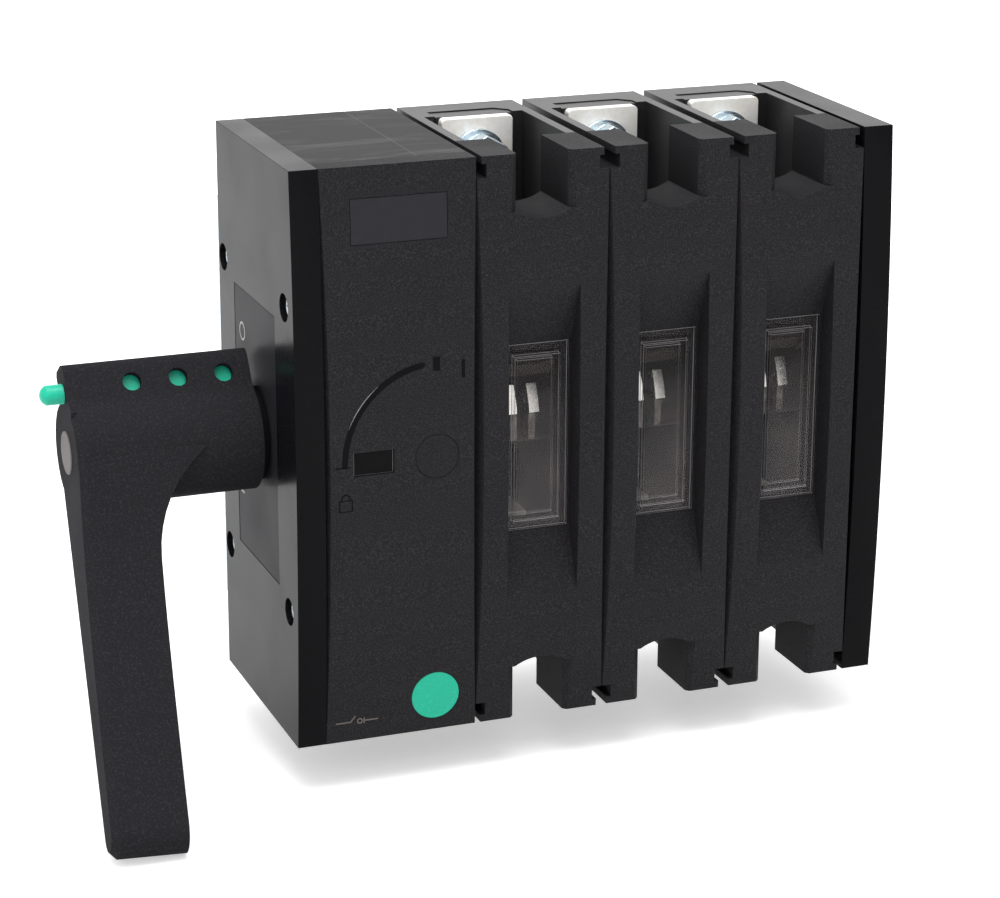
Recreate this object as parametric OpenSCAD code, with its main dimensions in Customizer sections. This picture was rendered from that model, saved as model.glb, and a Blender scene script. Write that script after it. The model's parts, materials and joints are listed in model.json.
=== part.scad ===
// Switch disconnector, three poles, side handle: the switch stands upright, its front faces -Y and
// its back rests on the plane y = 0. The origin is the centre of the four fixing holes at the back.
// The shaft runs along X through every pole. The handle is modelled in its OFF position.

/* [Housing] */
// Height of all the housings
housing_h = 211; // [200:1:214]
// Depth of the housings, from the front's upper edge to the back
housing_d = 90; // [89:1:96]
// How far the front bulges forward at mid height
front_bulge = 3.5; // [2.5:0.5:4.5]
// Draft of the sides of the bulged covers, in degrees
side_draft = 29; // [20:1:34]
// Width of the side plate that carries the handle
side_plate_w = 10.5; // [9:0.5:14]
// Width of the mechanism's case
mech_w = 57; // [55:1:62]
// Width of one pole, from one pole to the next
pole_pitch = 50; // [49:0.5:54]
// Width of the end plate
end_plate_w = 11.5; // [10:0.5:14]
// Depth of the shaft's axis behind the front's upper edge
shaft_depth = 45; // [44.5:0.5:46]

/* [Mechanism case] */
// Wall of the mechanism's case and cover
case_wall = 3; // [2.5:0.25:3.25]
// Width of the left half of the mechanism's case
case_left_w = 38.5; // [34:0.5:42]
// Depth of the mechanism's cover behind the front's upper edge
mech_cover_d = 9; // [8.5:0.5:12]
// Size of the bosses around the tie bolts
boss_r = 4.6; // [4.2:0.1:5]

/* [Mechanism front] */
// Width of the bare plate at the top of the cover
plate_w = 35; // [28:1:40]
// Height of the bare plate
plate_h = 15.8; // [12:0.2:20]
// Distance of the plate from the top of the housing
plate_drop = 11.3; // [9:0.1:16]
// Thickness of the plates and discs that are let into a face
inlay_t = 0.6; // [0.5:0.05:1]
// How far an inlay lies below the face around it
inlay_sink = 0.1; // [0:0.05:0.2]
// Gap around an inlay
inlay_gap = 0.2; // [0.1:0.05:0.3]
// Width of the position window
slot_w = 15; // [12:0.5:16]
// Height of the position window
slot_h = 8.8; // [7:0.2:11]
// Distance of the position window from the cover's left edge
slot_x = 10.4; // [8:0.2:12]
// Radius of the round plug
plug_r = 8; // [6:0.25:9]
// Distance of the plug's centre from the cover's left edge
plug_x = 41.4; // [38:0.2:43]
// Radius of the coloured disc
disc_r = 9; // [6:0.5:10]
// Height of the coloured disc's centre above the housing's lower edge
disc_rise = 13.5; // [12:0.5:20]

/* [Pole housings] */
// Depth of the pole's cover behind the front's upper edge
cover_d = 27; // [24:0.5:30]
// Wall of the arc chamber
pole_wall = 3; // [2.5:0.25:3.5]
// Side wall of the terminal chamber
side_wall = 5.8; // [5.4:0.1:6.4]
// Thickness of the solid front of a pole's cover
cover_solid = 13; // [12:0.5:14]
// Half height of the arc chamber
chamber_h2 = 60; // [57:0.5:61]
// Thickness of the partition between arc chamber and terminal
partition_t = 4; // [3:0.25:5]
// Thickness of the pole's back
back_t = 12; // [11:0.5:13]
// Thickness of the pole's back where the blades swing
swing_t = 8; // [7.5:0.25:8.5]
// Height of that thinner place above and below the reach of the blades
swing_room = 1.5; // [1:0.25:3]
// Gap between a housing half and what is dropped into it
seat_gap = 0.3; // [0.2:0.05:0.4]

/* [Notches and slots] */
// Width of the screwdriver notch
notch_w = 19.6; // [17:0.2:22]
// Depth of the notch at its sides
notch_h = 20.5; // [18:0.5:24]
// Sag of the notch's round floor
notch_sag = 2.8; // [1.5:0.1:4]
// Width of the barrier slot's mouth in one pole
slot_mouth = 2.1; // [1.6:0.1:2.6]
// Depth of the barrier slot's mouth
slot_lip = 2.7; // [2:0.1:3.5]
// Width of the barrier slot's inner part in one pole
slot_inner = 3.8; // [3:0.1:4.2]
// Depth of the whole barrier slot
slot_depth = 7.6; // [7:0.1:9]

/* [Inspection windows] */
// Width of the recess around a window
recess_w = 27.2; // [25:0.2:30]
// Half height of the recess at the front face
recess_h2 = 57.5; // [54:0.5:60]
// Half height of the window's flat floor
floor_h2 = 35.5; // [33:0.5:38]
// Depth of the recess floor behind the front's upper edge
recess_d = 6; // [5:0.25:6.5]
// Width of a window
window_w = 25.8; // [23:0.2:26]
// Half height of a window
window_h2 = 35; // [31:0.2:35]
// Thickness of a window
window_t = 2; // [1.5:0.1:2.2]
// Width of the border around the raised pane
window_border = 4; // [3:0.25:5]
// How far the pane stands proud
pane_rise = 2; // [1.2:0.1:2.4]

/* [Tie bolts] */
// Radius of a tie bolt
tie_r = 2.5; // [2:0.1:2.75]
// Radial clearance around a tie bolt
tie_gap = 0.3; // [0.2:0.05:0.4]
// Radius of a tie bolt's head
tie_head_r = 4.4; // [4:0.1:4.6]
// Height of a tie bolt's head
tie_head_h = 3.4; // [2.6:0.1:3.8]
// Radius of the counterbore
counterbore_r = 5; // [4.8:0.1:5.4]
// Depth of the counterbore
counterbore_d = 5.2; // [4.4:0.1:6]
// Depth of the front tie bolts behind the front's upper edge
tie_front = 8.1; // [7.9:0.1:8.3]
// Distance of the rear tie bolts from the housing's back
tie_rear = 6.2; // [6:0.1:6.5]
// Height of the tie bolts above and below the shaft
tie_z = 56; // [54.5:0.25:56.5]
// Width across flats of a tie nut
tie_nut_af = 8; // [7:0.1:8.5]
// Thickness of a tie nut
tie_nut_t = 4; // [3:0.1:4.5]

/* [Side label] */
// Depth of the label on the side plate, front to back
label_d = 50.3; // [46:0.5:56]
// Height of the label
label_h = 99; // [90:1:100]

/* [Mounting rails] */
// Width of a mounting rail
rail_w = 24; // [22:1:28]
// Height of a mounting rail
rail_h = 154; // [140:1:170]
// Thickness of a mounting rail
rail_t = 2.5; // [2:0.1:3]
// Distance of a fixing hole from the row's end
fix_x = 17.5; // [16.5:0.5:18.5]
// Hole spacing up the switch
fix_z = 130; // [110:1:132]
// Radius of a fixing hole
fix_r = 2.75; // [2.25:0.05:3.25]
// Radius of the pocket behind a fixing hole
fix_pocket_r = 5; // [4:0.1:5.5]
// Height of the rail screws above and below the shaft
rail_screw_z = 36; // [34:1:40]
// Radius of a rail screw
rail_screw_r = 2; // [1.5:0.1:2.25]

/* [Terminals] */
// Width of a terminal bar
bar_w = 28; // [24:0.5:29]
// Thickness of a terminal bar
bar_t = 4; // [3:0.25:5]
// Radius of a terminal bar's upper corners
bar_round = 1.75; // [1:0.25:4]
// Depth from a terminal bar's front to the housing's back
bar_depth = 24.5; // [24:0.25:25]
// How far the terminal bar ends below the housing's edge
bar_drop = 0.4; // [0.2:0.1:1]
// Distance of the terminal bolt from the bar's end
bolt_drop = 14.1; // [13:0.1:15]
// Radius of a terminal bolt
bolt_r = 5; // [4:0.25:5.5]
// Width across flats of a terminal bolt and nut
bolt_af = 16; // [13:0.5:17]
// Height of a terminal bolt's head
bolt_head_h = 6.4; // [5:0.2:7]
// Thickness of a terminal nut
nut_t = 7; // [5:0.25:7.4]
// Radius of a terminal washer
washer_r = 10; // [9:0.25:11]
// Thickness of a terminal washer
washer_t = 2; // [1.5:0.1:2.5]
// Radius of a spring washer
spring_washer_r = 8.8; // [8.2:0.1:9]
// Thickness of a spring washer
spring_washer_t = 2.2; // [1.8:0.1:2.6]
// Clearance between a bolt and what is threaded on it
thread_gap = 0.05; // [0.02:0.01:0.08]
// Width of a nut holder
holder_w = 30; // [28:0.5:34]

/* [Contacts] */
// Half length of a moving blade
blade_l2 = 27; // [26:0.25:27.5]
// Height of a moving blade's arm
blade_h = 10; // [7:0.5:11]
// Thickness of a moving blade
blade_t = 2.5; // [2:0.1:3]
// Thickness of the fixed knife between the blades
knife_t = 4; // [3:0.25:4.5]
// Gap between the knife and a blade
knife_gap = 0.3; // [0.2:0.05:0.4]
// Half width of the fixed knife, front to back
knife_d2 = 6; // [5:0.25:6]
// Distance of the fixed knife's tip from the shaft
knife_reach = 17.5; // [16.5:0.25:19]
// Distance of the strap from the shaft
strap_z = 40; // [39.5:0.25:42]
// Half width of the strap
strap_w2 = 10; // [8:0.25:10]
// Radius of a rotor
rotor_r = 14; // [13:0.25:14.5]
// Radius of a rotor's journals
journal_r = 11; // [10:0.25:12]

/* [Arc chutes] */
// Number of splitter plates in one arc chute
splitters = 6; // [4:1:6]
// Thickness of a splitter plate
splitter_t = 1; // [0.8:0.1:1.2]
// Inner radius of the arc chute
chute_r1 = 28.8; // [28.4:0.1:29.5]
// Outer radius of the arc chute
chute_r2 = 38; // [35:0.25:38]
// Half width between the cheeks
chute_w2 = 11; // [10.6:0.1:11.5]
// Thickness of a cheek
cheek_t = 1.5; // [1:0.1:2]

/* [Shafts] */
// Size of the square shaft
shaft_s = 12; // [11:0.25:12.5]
// Gap between the square shaft and its holes
shaft_gap = 0.05; // [0.03:0.01:0.09]
// Radius of the round part of the handle's spindle
spindle_r = 9; // [8.9:0.1:9.6]
// Radius of the bush
bush_r = 13; // [12:0.25:14]
// Radius of the bush's flange
flange_r = 17; // [15:0.5:18.5]
// Running clearance of round journals
run_gap = 0.06; // [0.03:0.01:0.09]

/* [Mechanism] */
// Radius of the drive disc
drive_r = 22; // [19:0.5:24]
// Thickness of the drive disc
drive_t = 4; // [3:0.25:4.25]
// Radius at which the drive pins turn
drive_pin_pcd = 13; // [12.5:0.1:13.5]
// Radius of a drive pin
drive_pin_r = 2.5; // [2:0.1:2.6]
// Radius of the indicator drum
drum_r = 43; // [41.5:0.25:43.5]
// Wall of the indicator drum
drum_t = 2; // [1.5:0.1:2.5]
// Thickness of the mechanism's frame
frame_t = 2.5; // [2:0.25:3]
// Mean radius of the torsion spring
spring_r = 16; // [14:0.25:18]
// Radius of the spring's wire
wire_r = 1.4; // [1:0.1:1.6]
// Number of turns of the spring
spring_turns = 3; // [2:1:3]

/* [Handle] */
// Angle of the lever in the OFF position, from straight down towards the front
lever_angle = 34; // [31:1:40]
// Gap between the handle and the side plate
handle_gap = 2.8; // [2:0.1:3.4]
// Length of the hub along the shaft
hub_l = 66.8; // [64:0.2:72]
// Radius of the hub
hub_r = 20; // [19.5:0.1:20.5]
// Chamfer around the outer face of the hub and the lever
grip_chamfer = 2.5; // [1.5:0.1:3]
// Distance of the locking ridge's front from the shaft's axis
ridge_front = 16; // [15.5:0.1:16.6]
// Distance of the locking ridge's rear side in front of the shaft's axis
ridge_rear = 3.5; // [2.5:0.25:3.5]
// Height of the locking ridge above the shaft's axis
ridge_h = 28.4; // [27.2:0.1:29]
// Radius of the ridge's upper edges
ridge_round = 4; // [2:0.25:4.5]
// Radius of the hollow between the ridge and the hub
ridge_hollow = 14; // [10:1:18]
// Width of the lever across the handle
lever_w = 26.8; // [25:0.2:28]
// Outward lean of the lever, in degrees
lever_lean = 3.4; // [2:0.1:4]
// Distance of the lever's tip from the shaft's axis
lever_l = 144.5; // [136:0.5:150]
// Radius of the lever's tip
tip_r = 8; // [7:0.25:8.5]
// Radius of the grey cap
cap_r = 7.8; // [6.5:0.1:8]
// Depth of the recess that holds the cap and the screw's head
cap_depth = 7.8; // [7:0.1:9]
// Radius of the steel insert in the hub
insert_r = 13; // [12.5:0.1:13.5]
// How far the insert stays back from the hub's inner end
insert_back = 2; // [1.5:0.1:3]
// Radius of the curve on which the lever's inner edge runs into the hub
root_r = 46; // [42:1:50]
// How far below the shaft's axis that curve begins
root_drop = 42.5; // [40:0.5:46]

/* [Padlock slide] */
// Radius of a padlock hole
lock_r = 3.4; // [2.8:0.1:3.5]
// Distance from one padlock hole to the next
lock_pitch = 16.7; // [16:0.1:17.2]
// Distance of the last padlock hole from the handle's inner end
lock_first = 9.6; // [9:0.1:10.5]
// Travel of the slide
slide_travel = 8.25; // [8:0.05:8.3]
// Height of the slide above the shaft's axis
slide_l = 19; // [18.8:0.1:19.2]
// Place of the slide across the ridge
slide_y = 9; // [8.5:0.1:9.5]
// Thickness of the slide
slide_t = 7.2; // [6:0.1:7.4]
// Height of the slide
slide_h = 13; // [12:0.1:13.2]
// Radius of the push pin
pin_r = 3.6; // [3:0.1:3.6]
// How far the push pin stands out of the handle
pin_out = 8.3; // [7.5:0.1:11]
// Clearance around the slide
slide_gap = 0.12; // [0.05:0.01:0.2]

/* [Hidden] */
POLES = [1, 2, 3];
POLE_PARTS = ["pole_base_left", "pole_base_right", "pole_cover", "pole_window", "upper_contact",
  "lower_contact", "rotor", "moving_blades", "arc_chutes"];
$fn = 64;

// Overlap that makes a cut pass clean through a face
cut = 1;
// Facets of the large circles
fine = 360;
half_h = housing_h / 2;
y_back = -rail_t;
y_front = y_back - housing_d;
y_axis = y_front + shaft_depth;
y_cover = y_front + cover_d;
total_w = side_plate_w + mech_w + len(POLES) * pole_pitch + end_plate_w;
x_left = -total_w / 2;
x_mech = x_left + side_plate_w;
x_poles = x_mech + mech_w;
x_end = x_poles + len(POLES) * pole_pitch;
x_right = total_w / 2;
bulge_r = (half_h * half_h + front_bulge * front_bulge) / (2 * front_bulge);
draft_in = front_bulge * tan(side_draft);
// End of the main shaft's bore in the end plate
shaft_end = x_end + end_plate_w / 2;
// Round holes in which the square shaft turns
shaft_bore_r = shaft_s / sqrt(2) + run_gap;
half_turn = 180;

function pole_x(i) = x_poles + (i - 1) * pole_pitch;
function pole_mid(i) = pole_x(i) + pole_pitch / 2;

// Shared shapes

// A flat outline drawn in Y and Z, carried along X from x0 over the width w
module along_x(x0, w) {
  translate([x0, 0, 0]) rotate([90, 0, 90]) linear_extrude(w) children();
}

// A box from its low corner to its high corner
module block(low, high) {
  translate(low) cube(high - low);
}

// A round bar along X
module bar_x(x0, x1, r, y = 0, z = 0) {
  translate([x0, y, z]) rotate([0, 90, 0]) cylinder(r = r, h = x1 - x0);
}

// A round bar along Y
module bar_y(x, z, y0, y1, r) {
  translate([x, y0, z]) rotate([-90, 0, 0]) cylinder(r = r, h = y1 - y0);
}

// The side view of a housing: flat at the back, a shallow arc at the front, sunk by a depth
module front_profile(y_end, sink = 0) {
  intersection() {
    translate([y_front - front_bulge, -half_h]) square([y_end - y_front + front_bulge, housing_h]);
    translate([y_front - front_bulge + sink + bulge_r, 0]) circle(r = bulge_r, $fn = 4 * fine);
  }
}

// A plain bulged block
module bulged_block(x0, w, y_end) {
  along_x(x0, w) front_profile(y_end);
}

// The top view of a cover whose sides lean in where the front bulges
module drafted(x0, w, y_end) {
  translate([0, 0, -half_h]) linear_extrude(housing_h) polygon([
    [x0, y_end], [x0, y_front], [x0 + draft_in, y_front - front_bulge],
    [x0 + w - draft_in, y_front - front_bulge], [x0 + w, y_front], [x0 + w, y_end]]);
}

module bulged_cover(x0, w, y_end) {
  intersection() {
    bulged_block(x0, w, y_end);
    drafted(x0, w, y_end);
  }
}

// A skin of the mechanism cover's front face, between two depths, cut out by its children
module front_skin(from, to) {
  intersection() {
    children();
    difference() {
      along_x(x_mech, mech_w) front_profile(y_front + mech_cover_d, from);
      along_x(x_mech - cut, mech_w + 2 * cut) front_profile(y_front + mech_cover_d + cut, to);
    }
  }
}

// The four places of the tie bolts
module at_tie_bolts() {
  for (y = [y_front + tie_front, y_back - tie_rear], z = [-tie_z, tie_z]) {
    translate([0, y, z]) children();
  }
}

module tie_bores(x0, x1, r) {
  at_tie_bolts() bar_x(x0, x1, r);
}

// Side plate, its label and the end plate

// Place of the label on the side plate
module label_area(gap, depth) {
  block([x_left, y_axis - label_d / 2 - gap, -label_h / 2 - gap],
    [x_left + depth, y_axis + label_d / 2 + gap, label_h / 2 + gap]);
}

module side_plate() {
  color("#232325") difference() {
    bulged_block(x_left, side_plate_w, y_back);
    translate([-cut, 0, 0]) label_area(inlay_gap, inlay_t + inlay_sink + cut);
    tie_bores(x_left - cut, x_mech + cut, tie_r + tie_gap);
    tie_bores(x_left - cut, x_left + counterbore_d, counterbore_r);
    bar_x(x_left - cut, x_mech + cut, bush_r + run_gap, y_axis, 0);
  }
}

module side_label() {
  color("#3a3a3d") difference() {
    translate([inlay_sink, 0, 0]) label_area(0, inlay_t);
    bar_x(x_left - cut, x_mech, bush_r + run_gap, y_axis, 0);
  }
}

module shaft_bush() {
  color("#1c1c1e") difference() {
    union() {
      bar_x(x_left - handle_gap + seat_gap, x_left + inlay_sink, flange_r, y_axis, 0);
      bar_x(x_left, x_mech + case_wall, bush_r, y_axis, 0);
    }
    bar_x(x_left - handle_gap - cut, x_mech + case_wall + cut, spindle_r + run_gap, y_axis, 0);
  }
}

module end_plate() {
  pocket = tie_nut_t + 2 * seat_gap;
  color("#232325") difference() {
    bulged_block(x_end, end_plate_w, y_back);
    tie_bores(x_end - cut, x_right + cut, tie_r + tie_gap);
    at_tie_bolts() translate([x_right - pocket, 0, 0]) rotate([0, 90, 0])
      cylinder(d = (tie_nut_af + seat_gap) / cos(30), h = pocket + cut, $fn = 6);
    bar_x(x_end - cut, shaft_end, shaft_bore_r, y_axis, 0);
    fixing_pockets(1);
    rail_screw_holes(1);
  }
}

// Tie bolts and nuts

module tie_bolts() {
  seat = x_left + counterbore_d;
  rim = 0.6 * tie_head_h;
  crown_r = 0.7 * tie_head_r;
  recess = [tie_r, 2 * tie_r, tie_r / 3];
  color("#d9dadb") at_tie_bolts() difference() {
    union() {
      bar_x(seat, x_right - seat_gap, tie_r);
      bar_x(seat - rim, seat, tie_head_r);
      translate([seat - rim, 0, 0]) rotate([0, -90, 0])
        cylinder(r1 = tie_head_r, r2 = crown_r, h = tie_head_h - rim);
    }
    for (a = [0, 90]) {
      translate([seat - tie_head_h, 0, 0]) rotate([a, 0, 0]) cube(recess, center = true);
    }
  }
}

module tie_nuts() {
  color("#c9cbce") at_tie_bolts() translate([x_right - tie_nut_t - seat_gap, 0, 0]) rotate([0, 90, 0])
    difference() {
      cylinder(d = tie_nut_af / cos(30), h = tie_nut_t, $fn = 6);
      translate([0, 0, -cut]) cylinder(r = tie_r + thread_gap, h = tie_nut_t + 2 * cut);
    }
}

// Mechanism case

case_front = y_front + mech_cover_d;
case_back = y_back - case_wall;
case_top = half_h - case_wall;
x_seam = x_mech + case_left_w;

// One half of the case between two planes, hollow between two others
module case_half(x0, x1, in0, in1) {
  difference() {
    union() {
      difference() {
        block([x0, case_front, -half_h], [x1, y_back, half_h]);
        block([in0, case_front - cut, -case_top], [in1, case_back, case_top]);
      }
      at_tie_bolts() bar_x(x0, x1, boss_r);
    }
    tie_bores(x0 - cut, x1 + cut, tie_r + tie_gap);
  }
}

module mech_case_left() {
  color("#2a2a2c") difference() {
    case_half(x_mech, x_seam, x_mech + case_wall, x_seam + cut);
    bar_x(x_mech - cut, x_mech + case_wall + cut, bush_r + run_gap, y_axis, 0);
    fixing_pockets(-1);
    rail_screw_holes(-1);
  }
}

module mech_case_right() {
  color("#2a2a2c") difference() {
    case_half(x_seam, x_poles, x_seam - cut, x_poles - case_wall);
    bar_x(x_poles - case_wall - cut, x_poles + cut, shaft_bore_r, y_axis, 0);
  }
}

// Outlines on the mechanism's front, as prisms through the cover

module plate_area(gap) {
  x = x_mech + (mech_w - plate_w) / 2 - gap;
  block([x, y_front - 2 * front_bulge, half_h - plate_drop - plate_h - gap],
    [x + plate_w + 2 * gap, y_front, half_h - plate_drop + gap]);
}

module disc_area(gap) {
  bar_y(x_mech + plug_x, -half_h + disc_rise, y_front - 2 * front_bulge, y_front + cut, disc_r + gap);
}

module slot_area(gap, y0, y1) {
  x = x_mech + slot_x;
  block([x - gap, y0, -slot_h / 2 - gap], [x + slot_w + gap, y1, slot_h / 2 + gap]);
}

cover_face = y_front - front_bulge;
// The plug rests on a lip of its hole
plug_lip = 2;
plug_stem_r = plug_r - plug_lip;
plug_head_t = case_wall / 2;
// The position window rests on the cover from behind with a flange
slot_flange = 1.2;
pane_sink = 1;
window_seat = 0.1;

module mech_cover() {
  color("#303032") difference() {
    bulged_cover(x_mech, mech_w, case_front);
    intersection() {
      along_x(x_mech + case_wall, mech_w - 2 * case_wall) front_profile(case_front + cut, case_wall);
      block([x_mech, y_front - front_bulge, -case_top], [x_poles, case_front + cut, case_top]);
    }
    front_skin(0, inlay_t + inlay_sink) plate_area(inlay_gap);
    front_skin(0, inlay_t + inlay_sink) disc_area(inlay_gap);
    slot_area(0, cover_face - cut, case_front);
    bar_y(x_mech + plug_x, 0, cover_face - cut, cover_face + plug_head_t, plug_r + inlay_gap);
    bar_y(x_mech + plug_x, 0, cover_face - cut, case_front, plug_stem_r + inlay_gap);
    for (z = [-tie_z, tie_z]) {
      translate([0, y_front + tie_front, z]) bar_x(x_mech - cut, x_poles + cut, boss_r + seat_gap);
      block([x_mech - cut, y_front + tie_front, z - boss_r - seat_gap],
        [x_poles + cut, case_front + cut, z + boss_r + seat_gap]);
    }
  }
}

module name_plate() {
  color("#343437") front_skin(inlay_sink, inlay_t) plate_area(0);
}

module colour_disc() {
  color("#35bfa0") front_skin(inlay_sink, inlay_t) disc_area(0);
}

module front_plug() {
  color("#303032") {
    bar_y(x_mech + plug_x, 0, cover_face + inlay_sink, cover_face + plug_head_t, plug_r);
    bar_y(x_mech + plug_x, 0, cover_face + plug_head_t - inlay_sink, cover_face + case_wall + cut,
      plug_stem_r);
  }
}

module position_window() {
  inside = cover_face + case_wall + window_seat;
  color([0.9, 0.95, 1, 0.4]) {
    slot_area(-inlay_gap, cover_face + pane_sink, inside + slot_flange / 2);
    slot_area(slot_flange, inside, inside + slot_flange / 2);
  }
}

// Mounting rails at the back

// Depths of the pockets, the rail screws' holes and the rail screws in the housings
pocket_d = 0.75 * back_t;
screw_hole_d = 0.7 * back_t;
screw_depth = 0.6 * back_t;

module at_rail(side) {
  translate([side * (total_w / 2 - fix_x), 0, 0]) children();
}

// Pockets in the housings behind the fixing holes
module fixing_pockets(side) {
  at_rail(side) for (z = [-fix_z / 2, fix_z / 2]) {
    bar_y(0, z, y_back - pocket_d, y_back + cut, fix_pocket_r);
  }
}

module rail_screw_holes(side) {
  at_rail(side) for (z = [-rail_screw_z, rail_screw_z]) {
    bar_y(0, z, y_back - screw_hole_d, y_back + cut, rail_screw_r + thread_gap);
  }
}

module rail(side) {
  x0 = side < 0 ? x_left : x_right - rail_w;
  difference() {
    block([x0, y_back, -rail_h / 2], [x0 + rail_w, 0, rail_h / 2]);
    at_rail(side) for (z = [-fix_z / 2, fix_z / 2]) {
      bar_y(0, z, y_back - cut, cut, fix_r);
    }
    at_rail(side) for (z = [-rail_screw_z, rail_screw_z]) {
      bar_y(0, z, y_back - cut, cut, rail_screw_r + thread_gap);
      translate([0, cut, z]) rotate([90, 0, 0])
        cylinder(r1 = 2 * rail_screw_r + cut, r2 = rail_screw_r, h = rail_screw_r + cut);
    }
  }
}

module mounting_rail_left() {
  color("#9a9da1") rail(-1);
}

module mounting_rail_right() {
  color("#9a9da1") rail(1);
}

module rail_screws() {
  color("#c9cbce") for (side = [-1, 1]) at_rail(side) for (z = [-rail_screw_z, rail_screw_z]) {
    bar_y(0, z, y_back - screw_depth, -rail_screw_r, rail_screw_r);
    translate([0, -thread_gap, z]) rotate([90, 0, 0])
      cylinder(r1 = 2 * rail_screw_r - thread_gap, r2 = rail_screw_r, h = rail_screw_r - thread_gap);
  }
}

// Pole housings

chamber_back = y_back - back_t;
terminal_z = chamber_h2 + partition_t;
bar_front = y_back - bar_depth;
bar_back = bar_front + bar_t;
bolt_z = half_h - bar_drop - bolt_drop;
notch_r = (notch_w * notch_w / 4 + notch_sag * notch_sag) / (2 * notch_sag);

// Something made at the top of a pole, and again upside down at the bottom
module top_and_bottom() {
  for (side = [0, 1]) mirror([0, 0, side]) children();
}

// The stepped slots for phase barriers along both upper edges of a pole
module barrier_slots(i) {
  top_and_bottom() for (side = [0, 1]) translate([pole_mid(i), 0, 0]) mirror([side, 0, 0]) {
    block([pole_pitch / 2 - slot_mouth, y_front - 2 * front_bulge, half_h - slot_depth + cut],
      [pole_pitch / 2 + cut, y_back + cut, half_h + cut]);
    block([pole_pitch / 2 - slot_inner, y_front - 2 * front_bulge, half_h - slot_depth],
      [pole_pitch / 2 + cut, y_back + cut, half_h - slot_lip]);
  }
}

// A nut holder's outline from above, wider by a gap all round
holder_back = chamber_back - seat_gap;
module holder_outline(front, gap) {
  corner = 4.5;
  w2 = holder_w / 2 + gap;
  polygon([[-w2, front], [w2, front], [w2, holder_back + gap - corner],
    [w2 - corner, holder_back + gap], [-w2, holder_back + gap]]);
}

// The hollow of a pole: arc chamber, both terminal chambers, the pockets for the nut holders
// and the bars' slots
module pole_hollow(i) {
  x0 = pole_x(i);
  x1 = x0 + pole_pitch;
  swing_h2 = blade_l2 + swing_room;
  block([x0 + pole_wall, y_front + cover_solid, -chamber_h2], [x1 - pole_wall, chamber_back, chamber_h2]);
  block([x0 + pole_wall, y_axis, -swing_h2], [x1 - pole_wall, y_back - swing_t, swing_h2]);
  top_and_bottom() {
    block([x0 + side_wall, y_cover, terminal_z], [x1 - side_wall, bar_back + seat_gap, half_h + cut]);
    translate([pole_mid(i), 0, terminal_z]) linear_extrude(half_h - terminal_z + cut)
      holder_outline(bar_back, seat_gap);
    block([pole_mid(i) - bar_w / 2 - seat_gap, bar_front - seat_gap, chamber_h2 - cut],
      [pole_mid(i) + bar_w / 2 + seat_gap, bar_back + seat_gap, terminal_z + cut]);
  }
}

module pole_base(i, x0) {
  difference() {
    block([x0, y_cover, -half_h], [x0 + pole_pitch / 2, y_back, half_h]);
    pole_hollow(i);
    barrier_slots(i);
    tie_bores(x0 - cut, x0 + pole_pitch, tie_r + tie_gap);
    bar_x(x0 - cut, x0 + pole_pitch, journal_r + run_gap, y_axis, 0);
    fixing_pockets(1);
    rail_screw_holes(1);
  }
}

module pole_base_left(i) {
  color("#2b2b2d") pole_base(i, pole_x(i));
}

module pole_base_right(i) {
  color("#2b2b2d") pole_base(i, pole_mid(i));
}

// The notch in the front of a pole, open to the front, the top and the terminal
module notch(i) {
  floor_z = half_h - notch_h;
  chamfer = 1.4;
  translate([pole_mid(i), 0, 0]) {
    block([-notch_w / 2, y_front - 2 * front_bulge, floor_z], [notch_w / 2, y_cover + cut, half_h + cut]);
    intersection() {
      bar_y(0, floor_z - notch_sag + notch_r, y_front - 2 * front_bulge, y_cover + cut, notch_r);
      block([-notch_w / 2, y_front - 2 * front_bulge, floor_z - notch_sag - cut],
        [notch_w / 2, y_cover + cut, floor_z + cut]);
    }
    translate([0, 0, floor_z]) linear_extrude(notch_h + cut) polygon([
      [-notch_w / 2 - chamfer - front_bulge, y_front - front_bulge], [-notch_w / 2, y_front + chamfer],
      [notch_w / 2, y_front + chamfer], [notch_w / 2 + chamfer + front_bulge, y_front - front_bulge]]);
  }
}

// The recess around a window: a flat floor between two long ramps
module window_recess(i) {
  y_open = y_front - front_bulge - cut;
  y_ramp = y_front - 0.7 * front_bulge;
  y_floor = y_front + recess_d;
  along_x(pole_mid(i) - recess_w / 2, recess_w) polygon([
    [y_open, -recess_h2], [y_ramp, -recess_h2], [y_floor, -floor_h2],
    [y_floor, floor_h2], [y_ramp, recess_h2], [y_open, recess_h2]]);
}

window_back = y_front + recess_d + window_t;
// Room around the window's raised pane in the cover's opening
pane_room = 1;

module pole_cover(i) {
  mid = pole_mid(i);
  open_w2 = window_w / 2 - window_border + pane_room;
  open_h2 = window_h2 - window_border + pane_room;
  seat_w2 = window_w / 2 + inlay_gap;
  seat_h2 = window_h2 + inlay_gap;
  color("#303032") difference() {
    bulged_cover(pole_x(i), pole_pitch, y_cover);
    pole_hollow(i);
    barrier_slots(i);
    top_and_bottom() notch(i);
    window_recess(i);
    block([mid - seat_w2, y_front, -seat_h2], [mid + seat_w2, window_back, seat_h2]);
    block([mid - open_w2, y_front, -open_h2], [mid + open_w2, y_cover, open_h2]);
    tie_bores(pole_x(i) - cut, pole_x(i) + pole_pitch + cut, tie_r + tie_gap);
  }
}

// A clear window: a flat flange with a raised hollow pane
module pole_window(i) {
  half = window_w / 2;
  border = window_border;
  color([0.85, 0.9, 0.95, 0.4]) translate([pole_mid(i), 0, 0]) difference() {
    union() {
      block([-half, window_back - window_t, -window_h2], [half, window_back, window_h2]);
      block([-half + border, window_back - window_t - pane_rise, -window_h2 + border],
        [half - border, window_back, window_h2 - border]);
    }
    block([-half + border + window_t, window_back - pane_rise, -window_h2 + border + window_t],
      [half - border - window_t, window_back + cut, window_h2 - border - window_t]);
  }
}

// Terminals

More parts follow.
